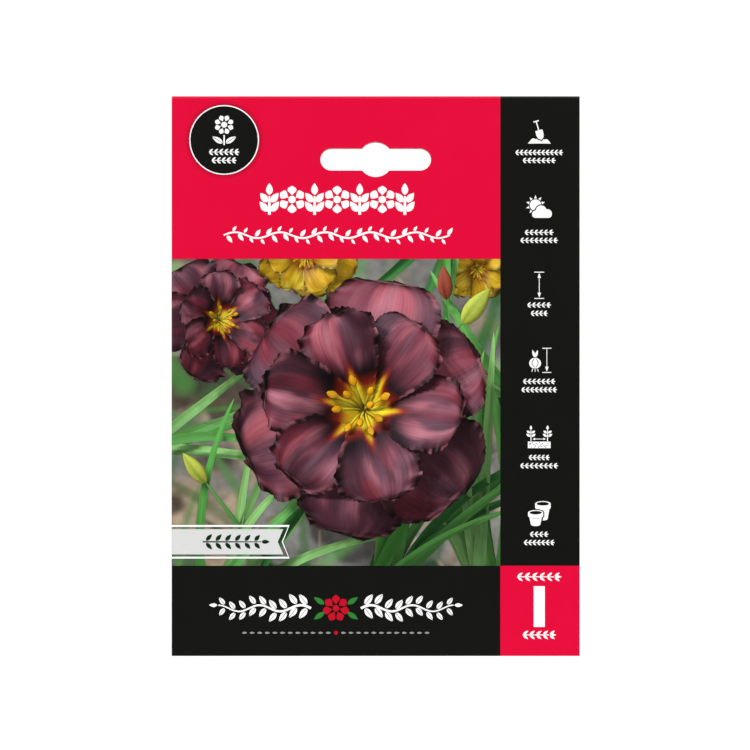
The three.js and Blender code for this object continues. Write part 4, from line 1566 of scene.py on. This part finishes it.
def litter(name, seed, count, length, width, thick, sides, stations, tones, contents):
    """Loose strands or chips that lie on the bed and on what contents holds, under the film."""
    draw = np.random.default_rng(seed)
    t = np.linspace(0, 1, stations)
    rings = np.linspace(0, 2 * math.pi, sides, endpoint=False) + math.pi / 4
    bed = bed_depth(GRID_X, GRID_DROP)
    slopes = [np.clip(np.gradient(bed, axis=axis), -STEEPEST, STEEPEST) for axis in (1, 0)]
    roots_stand = contents - bed > 0.7
    made = Pile()
    for _ in range(count):
        x0, drop0 = draw.uniform(-FILL_SIDE, FILL_SIDE), draw.uniform(FILL_TOP - 0.5, FILL_FOOT)
        # The steep sides and foot show more of themselves than their share of the bed's outline.
        lot, rounding = draw.random(), 1 - math.sqrt(1 - draw.random() ** 2)
        if lot < ON_SIDES:
            x0 = math.copysign(FILL_SIDE - SHOULDER * rounding, x0)
        elif lot < ON_SIDES + ON_FOOT:
            drop0 = FILL_FOOT - FOOT_SHOULDER * rounding
        angle, bend = draw.uniform(0, 2 * math.pi), draw.normal(0, 0.9)
        size, half = draw.uniform(*length), draw.uniform(*width) / 2
        on_root = roots_stand[int(drop0 - 26), int(x0 + 54)]
        rise, tilt, roll = draw.random() ** 1.5, draw.normal(0, 0.7), draw.normal(0, 0.45)
        tone = blend(tones[0], tones[1], draw.random() ** 1.4) * draw.uniform(0.75, 1.15)
        if on_root and draw.random() > OVER_ROOTS:
            continue
        heading = angle + bend * (t - 0.5) * 2 + 0.4 * np.sin(5 * t + angle)
        step = size / (stations - 1)
        back = 0.5 * size * math.sin(angle) / math.hypot(1, read(slopes[1], x0, drop0))
        x, drop = np.full(stations, x0), np.full(stations, drop0 - back)
        for k in range(1, stations):
            way_x, way_drop = math.cos(heading[k]), math.sin(heading[k])
            slope_x, slope_drop = (read(field, x[k - 1], drop[k - 1]) for field in slopes)
            move = step / math.hypot(1, slope_x * way_x + slope_drop * way_drop)
            x[k], drop[k] = x[k - 1] + way_x * move, drop[k - 1] + way_drop * move
        keep = (np.abs(x) < FILL_SIDE + 1) & (drop > FILL_TOP - 3) & (drop < FILL_FOOT + 0.8)
        if not keep.all():
            continue
        roof = pouch_inside(x, drop) - SEAT - 0.25 - half * 0.3
        low = bed_depth(x, np.maximum(drop, FILL_TOP + 1.5))
        if on_root:
            low = np.maximum(low, read(contents, x, drop))
        room = np.clip(roof - low, 0, 3.2)
        y = np.minimum(low + 0.15 + room * 0.75 * rise + tilt * (2 * t - 1) * 0.5, roof)
        slope_x, slope_drop = (read(field, x, drop) for field in slopes)
        climb = slope_x * np.cos(heading) + slope_drop * np.sin(heading)
        out = np.stack([-slope_x, np.ones(stations), slope_drop], -1)
        along = np.stack([np.cos(heading), climb, -np.sin(heading)], -1)
        out, along = (way / np.linalg.norm(way, axis=1)[:, None] for way in (out, along))
        side = np.cross(out, along)
        line = behind(x, y, drop) + out * 0.12
        taper = half * np.sin(math.pi * np.clip(t, 0.06, 0.94)) ** 0.35
        across = np.cos(rings)[None, :] * taper[:, None]
        up = np.sin(rings)[None, :] * thick / 2 + across * roll
        points = line[:, None, :] + across[..., None] * side[:, None, :] + up[..., None] * out[:, None, :]
        made.loft(points, tone=np.broadcast_to(tone, (*points.shape[:2], 3)))
    made.make(name, grained(name + "_wood"), "packing_fibre", shade_smooth=sides == 3)
    return made


def peat():
    """Moist peat: dark crumbs with paler specks of bark and fibre."""
    paint = Paint("moist_peat")
    place = paint.place()
    crumb = paint.noise(place, 700.0, 5.0, 0.7)
    patch = paint.noise(place, 110.0, 2.0)
    thread = paint.noise(paint.stretched(place, (1.0, 1.0, 0.22)), 1400.0, 2.0)
    deep, warm, pale = linear(52, 36, 25), linear(104, 74, 50), linear(158, 122, 84)
    tone = paint.mix(deep, warm, paint.ramp((crumb + patch) * 0.5, [(0.38, (0, 0, 0)), (0.62, (1, 1, 1))]))
    return paint.finish({
        "Base Color": paint.mix(tone, pale, thread.over(0.64) * 0.7),
        "Roughness": 0.94 - patch * 0.18,
        "Normal": paint.bump(crumb, 0.7),
    })


def grained(name):
    """Wood and coir in each piece's own tone, with a fine grain."""
    paint = Paint(name)
    place = paint.place()
    grain = paint.noise(place, 1900.0, 3.0, 0.6)
    patch = paint.noise(place, 240.0, 2.0)
    return paint.finish({
        "Base Color": paint.dim(paint.kept("tone", "Color"), grain * 0.7 + patch * 0.5 + 0.4),
        "Roughness": 0.9 - grain * 0.2,
        "Normal": paint.bump(grain, 0.12),
    })


# ---- Plant ----------------------------------------------------------------------------------------

CROWN_DROP = 79.0
SHOOT_APART = 13.0
CROWN_LOBE = (15.6, 12.5, 14.0)  # across, deep and high
ROOTS_OUTER, ROOTS_INNER = 10, 4
FAN_BLADES = 6
BLADE = 0.8


def stream(seed):
    """Repeatable numbers from 0 to 1, which place the roots and leaves where the solids have them."""
    whole = 0xFFFFFFFF
    state = seed

    def draw():
        nonlocal state
        state = (state + 0x6D2B79F5) & whole
        mixed = ((state ^ state >> 15) * (1 | state)) & whole
        mixed = ((mixed + ((mixed ^ mixed >> 7) * (61 | mixed) & whole)) & whole) ^ mixed
        return (mixed ^ mixed >> 14) / 4294967296

    return draw


def crown_middle():
    """How far back the middle of the crown lies."""
    inside = pouch_inside(np.array(SHOOT_APART / 2), np.array(CROWN_DROP))
    return float(inside) - SEAT - 0.9 - CROWN_LOBE[1] / 2


def root_lines():
    """Every root as a function from shares of its length to x, depth and drop, and one to its radius."""
    random_draw = stream(41)
    lines = []
    for k in range(ROOTS_OUTER + ROOTS_INNER):
        outer = k < ROOTS_OUTER
        share = (k + 0.5) / ROOTS_OUTER if outer else (k - ROOTS_OUTER + 0.5) / ROOTS_INNER
        lean = (share - 0.5) * (2.0 if outer else 1.2) + (random_draw() - 0.5) * 0.12
        length = blend(48, 66, random_draw()) * (1 - 0.22 * abs(lean))
        sway = (random_draw() - 0.5) * 5
        turns = 0.8 + random_draw() * 0.7
        thick = blend(2.0, 3.0, random_draw())
        belly = blend(0.45, 0.7, random_draw())
        start = (share - 0.5) * (SHOOT_APART + CROWN_LOBE[0] * 0.45)
        depth = 0.0 if outer else 6 + random_draw() * 3

        def line(t, lean=lean, length=length, sway=sway, turns=turns, thick=thick, start=start, depth=depth):
            x = start + length * math.sin(lean) * (t - 0.28 * t * t)
            x = x + sway * np.sin(2 * math.pi * turns * t) * t
            drop = CROWN_DROP + 2 + length * (math.cos(lean) * t + 0.2 * abs(math.sin(lean)) * t * t)
            y = pouch_inside(x, drop) - SEAT - 0.45 - thick * 1.14 - depth * smooth(t * 3)
            return x, np.maximum(y, BAG_FRONT + FILM + 4), drop

        def radius(t, thick=thick, belly=belly):
            swell = 0.42 * np.exp(-(((t - belly) / 0.2) ** 2)) - 0.62 * smooth((t - 0.72) / 0.28)
            return np.maximum(thick * (0.72 + swell), 0.75)

        lines.append((line, radius))
    return lines


def tube(line, radii, sides):
    """Rings of points about a line. radii has one value for each ring, or one for each point."""
    along = np.gradient(line, axis=0)
    along /= np.linalg.norm(along, axis=1)[:, None]
    first = np.cross(along, (0.0, 1.0, 0.0))
    first /= np.linalg.norm(first, axis=1)[:, None]
    second = np.cross(first, along)
    turns = np.linspace(0, 2 * math.pi, sides, endpoint=False)
    reach = np.broadcast_to(np.asarray(radii).reshape(len(line), -1), (len(line), sides))[..., None]
    out = np.cos(turns)[None, :, None] * first[:, None, :] + np.sin(turns)[None, :, None] * second[:, None, :]
    return line[:, None, :] + reach * out


def fleshy_roots(contents):
    """The tuberous roots, wrinkled round and along, each with its fine rootlets."""
    roots, hairs = Pile(), Pile()
    draw = np.random.default_rng(17)
    sides, rings = 20, 84
    turns = np.linspace(0, 2 * math.pi, sides, endpoint=False)[None, :]
    for number, (line, radius) in enumerate(root_lines()):
        t = np.linspace(0, 1, rings)
        points = behind(*line(t))
        lengths = np.linalg.norm(np.diff(points, axis=0), axis=1).sum() * t[:, None]
        furrow = np.sin(3 * turns + 0.12 * lengths + number) * 0.5 + np.sin(7 * turns - 0.2 * lengths) * 0.3
        wrinkle = mottle(lengths * 1.0, turns * 1.1 + number * 9, 1.5, 91 + number)
        relief = 1 + 0.035 * furrow - 0.085 * smooth((wrinkle - 0.5) / 0.22)
        relief = relief + 0.03 * np.sin(0.5 * lengths + number)
        end = np.clip((1 - t[:, None]) / 0.02, 0.15, 1) ** 0.5
        radii = radius(t)[:, None] * np.minimum(relief, 1.02) * end
        surface = tube(points, radii, sides)
        press(contents, surface)
        roots.loft(
            surface,
            along=np.broadcast_to(lengths, (rings, sides)),
            across=np.broadcast_to(np.cos(turns), (rings, sides)),
            kind=np.full((rings, sides), number * 1.0),
        )
        for _ in range(7):
            start = draw.uniform(0.3, 0.97)
            x0, y0, drop0 = (float(value) for value in line(np.array(start)))
            size, side = draw.uniform(6, 17), draw.choice((-1, 1))
            heading, curve = draw.uniform(0.1, 0.75) * side, draw.uniform(-1.2, 1.2)
            s = np.linspace(0, 1, 12)
            x = x0 + size * np.sin(heading + curve * s) * s
            drop = drop0 + size * np.cos(heading + curve * s) * s
            roof = pouch_inside(x, drop) - SEAT - 0.4
            y = np.minimum(blend(y0 + 0.6, roof, smooth(s * 1.6) * draw.uniform(0.5, 1.0)), roof)
            if (drop > FILL_FOOT).any() or (np.abs(x) > FILL_SIDE - 1).any():
                continue
            hairs.loft(tube(behind(x, y, drop), blend(0.28, 0.09, s), 5))
    flesh = roots.make("fleshy_roots", root_skin(), "root_flesh")
    fine = hairs.make("rootlets", rootlet_skin(), "root_flesh")
    for made in (flesh, fine):
        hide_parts("crown_and_roots")


def crown(contents):
    """The crown: a ringed, knobbly lobe under each shoot."""
    made = Pile()
    rows, sides = 44, 60
    lift = np.linspace(-1, 1, rows)[:, None] * 0.995
    turns = np.linspace(0, 2 * math.pi, sides, endpoint=False)[None, :]
    for side in (-1, 1):
        tilt = np.arcsin(lift)
        way_x, way_y = np.cos(tilt) * np.cos(turns), np.cos(tilt) * np.sin(turns)
        way_z = np.sin(tilt) + 0 * turns
        lump = 1 + 0.05 * np.sin(5 * way_x + side) * np.cos(4 * way_z)
        scars = np.abs(np.sin(11 * way_z + 0.7 * np.sin(3 * turns + side))) ** 3
        knobs = mottle(way_x * 7 + side * 5 + 20, way_z * 7 + way_y * 4, 2.1, 131)
        lump = lump - 0.08 * scars * smooth((way_z + 0.4) / 0.3) - 0.06 * smooth((knobs - 0.45) / 0.3)
        middle = np.array([side * SHOOT_APART / 2, crown_middle(), CARD_TOP - CROWN_DROP])
        ways = zip((way_x, way_y, way_z), CROWN_LOBE)
        points = middle + np.stack([way * size / 2 * lump for way, size in ways], -1)
        press(contents, points)
        made.loft(
            points, along=(way_z + 1) * 7, across=np.broadcast_to(np.cos(turns), way_z.shape),
            kind=np.full(way_z.shape, 20.0 + side),
        )
    lobes = made.make("crown", root_skin("crown_skin", 0.5), "root_flesh")
    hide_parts("crown_and_roots")


def strap(made, foot, lean, length, wide, layer, rest, number, tip=0.0, steps=30):
    """One keeled strap leaf, cut off square and dried a little at the cut."""
    across_steps = 9
    t = np.linspace(0, 1, steps)[:, None]
    over = np.linspace(-0.5, 0.5, across_steps)
    around = np.concatenate([over, over[::-1]])[None, :]
    face = np.concatenate([np.full(across_steps, -1.0), np.full(across_steps, 1.0)])[None, :]
    half = wide / 2 * (1 - 0.3 * t) * (1 - tip * t**3) * (1 + 0.03 * np.sin(7 * t + number))
    bend = lean * (0.55 + 0.45 * t)
    ragged = 0.9 * (mottle(around * 9 + number * 5, 0 * around + 3, 1.6, 141) - 0.5)
    reach = length * t - 1.2 * (t < 0.5) * (1 - t) + ragged * t**6
    keel = 1.1 * (1 - np.abs(around) * 2) * (1 - 0.35 * t)
    ribs = 0.05 * np.cos(around * 2 * math.pi * 5)
    thick = BLADE / 2 * (1 - 0.62 * (2 * around) ** 2) * (1 - 0.3 * t) + ribs * (1 - t * 0.5)
    curl = 0.5 * smooth((t - 0.8) / 0.2) * np.sin(number * 2.3) * (2 * around) ** 2
    x = foot[0] + np.sin(bend) * reach + np.cos(bend) * around * 2 * half
    drop = foot[1] - np.cos(bend) * reach + np.sin(bend) * around * 2 * half
    y = rest(t) + layer * (1 - 0.3 * t) + keel + curl + face * thick
    shape = np.broadcast_shapes(t.shape, around.shape)
    made.loft(
        behind(x, y, drop), along=np.broadcast_to(t, shape), across=np.broadcast_to(around * 2, shape),
        kind=np.full(shape, number * 1.0),
    )


def leaf_fans():
    """The two shoots: fans of keeled strap leaves cut back to stubs, with dry sheaths at their feet."""
    for side, node in ((-1, "leaf_fan_left"), (1, "leaf_fan_right")):
        random_draw = stream(7 if side > 0 else 19)
        foot = (side * SHOOT_APART / 2, CROWN_DROP - CROWN_LOBE[2] / 2 + 1.2)
        high = float(pouch_inside(np.array(foot[0]), np.array(foot[1] - 15.0))) * 0.5
        rest = lambda t, high=high: blend(crown_middle(), high, smooth(t))
        fan, sheaths = Pile(), Pile()
        for k in range(FAN_BLADES):
            share = k / (FAN_BLADES - 1) - 0.5
            lean = share * 0.72 + side * 0.15
            length = 19 - 5 * abs(share) - random_draw() * 2.2
            wide = 5.6 - random_draw() * 1.2
            layer = (0.62 if k % 2 else -0.62) + share * 0.5
            strap(fan, foot, lean, length, wide, layer, rest, k + 10 * (side > 0))
        for k in range(5):
            share = k / 4 - 0.5
            layer = 1.7 if k % 2 else -1.5
            lean, tall = share * 1.1 + side * 0.15, 11.5 - 4 * abs(share) + k % 2
            strap(sheaths, foot, lean, tall, 5.2, layer, rest, k + 30, 0.9, 18)
        leaves = fan.make(node.replace("leaf_fan", "leaf_stubs"), leaf_skin(), "leaf_green")
        dry = sheaths.make(node.replace("leaf_fan", "dry_sheaths"), sheath_skin(), "leaf_green")
        for made in (leaves, dry):
            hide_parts(node)


def root_skin(name="root_skin", shade=1.0):
    """Tan, wrinkled root skin with dark creases and peat clinging in them."""
    paint = Paint(name)
    place = paint.place()
    along, kind = paint.kept("along"), paint.kept("kind")
    skin = paint.joined(along * 1.5 + kind * 7.0, paint.kept("across") * 0.7, kind)
    rings = paint.noise(skin, 1.0, 4.0, 0.65)
    patch = paint.noise(place, 170.0, 3.0)
    grit = paint.noise(place, 900.0, 3.0, 0.7)
    light, tan, dirt = linear(206, 164, 112) * shade, linear(158, 110, 66) * shade, linear(74, 50, 32)
    worn = paint.ramp(rings * 0.55 + patch * 0.55, [(0.4, (0, 0, 0)), (0.68, (1, 1, 1))])
    tone = paint.mix(light, tan, worn)
    soiled = paint.ramp(patch * 0.45 + grit * 0.55, [(0.55, (0, 0, 0)), (0.66, (1, 1, 1))])
    return paint.finish({
        "Base Color": paint.mix(tone, dirt, soiled),
        "Roughness": 0.62 + grit * 0.25,
        "Normal": paint.bump(rings * 0.8 + grit * 0.25, 0.4),
        "Subsurface Weight": 0.08, "Subsurface Scale": 0.5 * MM,
    })


def rootlet_skin():
    paint = Paint("rootlet_skin")
    patch = paint.noise(paint.place(), 300.0, 2.0)
    return paint.finish({
        "Base Color": paint.mix(linear(222, 188, 142), linear(166, 124, 84), patch),
        "Roughness": 0.75 + patch * 0.15,
    })


def leaf_skin():
    """Cut-back leaves: blanched at the foot, yellow-green above and dry at the cut."""
    paint = Paint("cut_leaf")
    along, across, kind = paint.kept("along"), paint.kept("across"), paint.kept("kind")
    veins = paint.noise(paint.joined(along * 1.2 + kind * 3.0, across * 13.0, kind), 1.0, 3.0, 0.6)
    patch = paint.noise(paint.place(), 260.0, 3.0)
    body = paint.ramp(along + (patch - 0.5) * 0.16, [
        (0.02, linear(226, 216, 170)), (0.3, linear(176, 190, 108)), (0.6, linear(122, 154, 62)),
        (0.85, linear(150, 162, 76)), (0.93, linear(176, 142, 84)), (0.99, linear(112, 78, 46)),
    ])
    return paint.finish({
        "Base Color": paint.dim(body, veins * 0.55 + 0.74),
        "Roughness": 0.42 + patch * 0.2,
        "Normal": paint.bump(veins, 0.16),
        "Subsurface Weight": 0.12, "Subsurface Scale": 0.4 * MM,
    })


def sheath_skin():
    """Papery, dried leaf bases."""
    paint = Paint("dry_sheath")
    along, across, kind = paint.kept("along"), paint.kept("across"), paint.kept("kind")
    veins = paint.noise(paint.joined(along * 1.0 + kind * 3.0, across * 11.0, kind), 1.0, 3.0, 0.6)
    tone = paint.mix(linear(190, 154, 104), linear(106, 72, 44), veins)
    return paint.finish({
        "Base Color": tone, "Roughness": 0.7 + veins * 0.2, "Normal": paint.bump(veins, 0.2),
    })


def plant_and_packing():
    """Everything in the pouch, from the inside out, and the film over it."""
    contents = np.full(GRID_X.shape, 0.0)
    fibre_bed()
    inside = (np.abs(GRID_X) < FILL_SIDE) & (GRID_DROP > FILL_TOP) & (GRID_DROP < FILL_FOOT)
    contents = np.where(inside, bed_depth(GRID_X, GRID_DROP), contents)
    crown(contents)
    fleshy_roots(contents)
    leaf_fans()
    resting = contents.copy()
    shavings = (linear(134, 98, 62), linear(214, 178, 128))
    coir = (linear(92, 62, 38), linear(196, 152, 98))
    for name, seed, count, length, width, thick, sides, stations, tones in (
        ("wood_shavings", 101, 1650, (3.0, 8.5), (1.0, 2.6), 0.2, 4, 7, shavings),
        ("coir_strands", 103, 3100, (7.0, 19.0), (0.22, 0.5), 0.3, 3, 10, coir),
    ):
        made = litter(name, seed, count, length, width, thick, sides, stations, tones, resting)
        press(contents, np.concatenate([p.reshape(-1, 3) for p in made.points]))
    film_pouch(contents)


# ---- Stage ----------------------------------------------------------------------------------------


def studio():
    """A pale floor, soft lights from four sides and above, and the camera square to the printed face."""
    scene = bpy.context.scene
    scene.view_settings.view_transform = "Standard"
    middle = Vector((0.0, 0.0, (CARD_TOP + CARD_FOOT) / 2)) * MM

    world = bpy.data.worlds.new("studio")
    world.use_nodes = True
    scene.world = world
    tree = world.node_tree
    tree.nodes.clear()
    seen, room, path = (tree.nodes.new(kind) for kind in (
        "ShaderNodeBackground", "ShaderNodeBackground", "ShaderNodeLightPath"))
    seen.inputs["Color"].default_value = (1.0, 1.0, 1.0, 1.0)
    seen.inputs["Strength"].default_value = 1.03
    room.inputs["Color"].default_value = (1.0, 1.0, 1.0, 1.0)
    room.inputs["Strength"].default_value = 0.2
    mix, output = tree.nodes.new("ShaderNodeMixShader"), tree.nodes.new("ShaderNodeOutputWorld")
    tree.links.new(path.outputs["Is Camera Ray"], mix.inputs[0])
    tree.links.new(room.outputs[0], mix.inputs[1])
    tree.links.new(seen.outputs[0], mix.inputs[2])
    tree.links.new(mix.outputs[0], output.inputs["Surface"])

    lights = [
        # azimuth and elevation in degrees, distance and side in metres, power
        ("key_left", -46, 22, 0.95, 0.55, 5.6),
        ("key_right", 46, 22, 0.95, 0.55, 5.6),
        ("back_left", 148, 28, 0.95, 0.5, 5.6),
        ("back_right", -140, 22, 0.95, 0.5, 4.4),
        ("top", 0, 88, 0.8, 0.6, 2.0),
    ]
    for name, azimuth, elevation, distance, side, power in lights:
        lamp = bpy.data.lights.new(name, "AREA")
        lamp.shape, lamp.size, lamp.energy = "SQUARE", side, power
        holder = bpy.data.objects.new(name, lamp)
        turn, lift = math.radians(azimuth), math.radians(elevation)
        way = Vector((math.sin(turn) * math.cos(lift), -math.cos(turn) * math.cos(lift), math.sin(lift)))
        holder.location = middle + way * distance
        holder.rotation_euler = (-way).to_track_quat("-Z", "Y").to_euler()
        scene.collection.objects.link(holder)

    floor_drop, floor_radius = 100.0, 290.0
    rim = circle(0.0, 0.0, floor_radius, 96)
    mesh = bpy.data.meshes.new("floor")
    level = (CARD_FOOT - floor_drop) * MM
    mesh.from_pydata([(x * MM, y * MM, level) for x, y in rim], [], [tuple(range(len(rim)))])
    paint = Paint("floor_pale")
    mesh.materials.append(paint.finish({"Base Color": (0.86, 0.86, 0.85), "Roughness": 0.7}))
    floor = bpy.data.objects.new("floor", mesh)
    scene.collection.objects.link(floor)
    floor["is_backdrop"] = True

    lens, sensor, view_width = 100.0, 36.0, 216.9
    camera = bpy.data.cameras.new("camera")
    camera.lens, camera.sensor_width = lens, sensor
    holder = bpy.data.objects.new("camera", camera)
    holder.location = middle + Vector((-0.2, -view_width * lens / sensor, 0.26)) * MM
    holder.rotation_euler = (math.radians(90), 0.0, 0.0)
    scene.collection.objects.link(holder)
    scene.camera = holder


# ---- The pack -------------------------------------------------------------------------------------

folded_card()
printed("header_ornament", header_shapes(), "white")
printed("rear_ornament", header_shapes(), "white", back=True)
badge_print()
column_print()
corner_print()
band_print()
picture()
ribbon_print()
plant_and_packing()
studio()

({name: [list(corner) for corner in box] for name, box in (
    ("cad", CAD_BOX), ("visual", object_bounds()))})
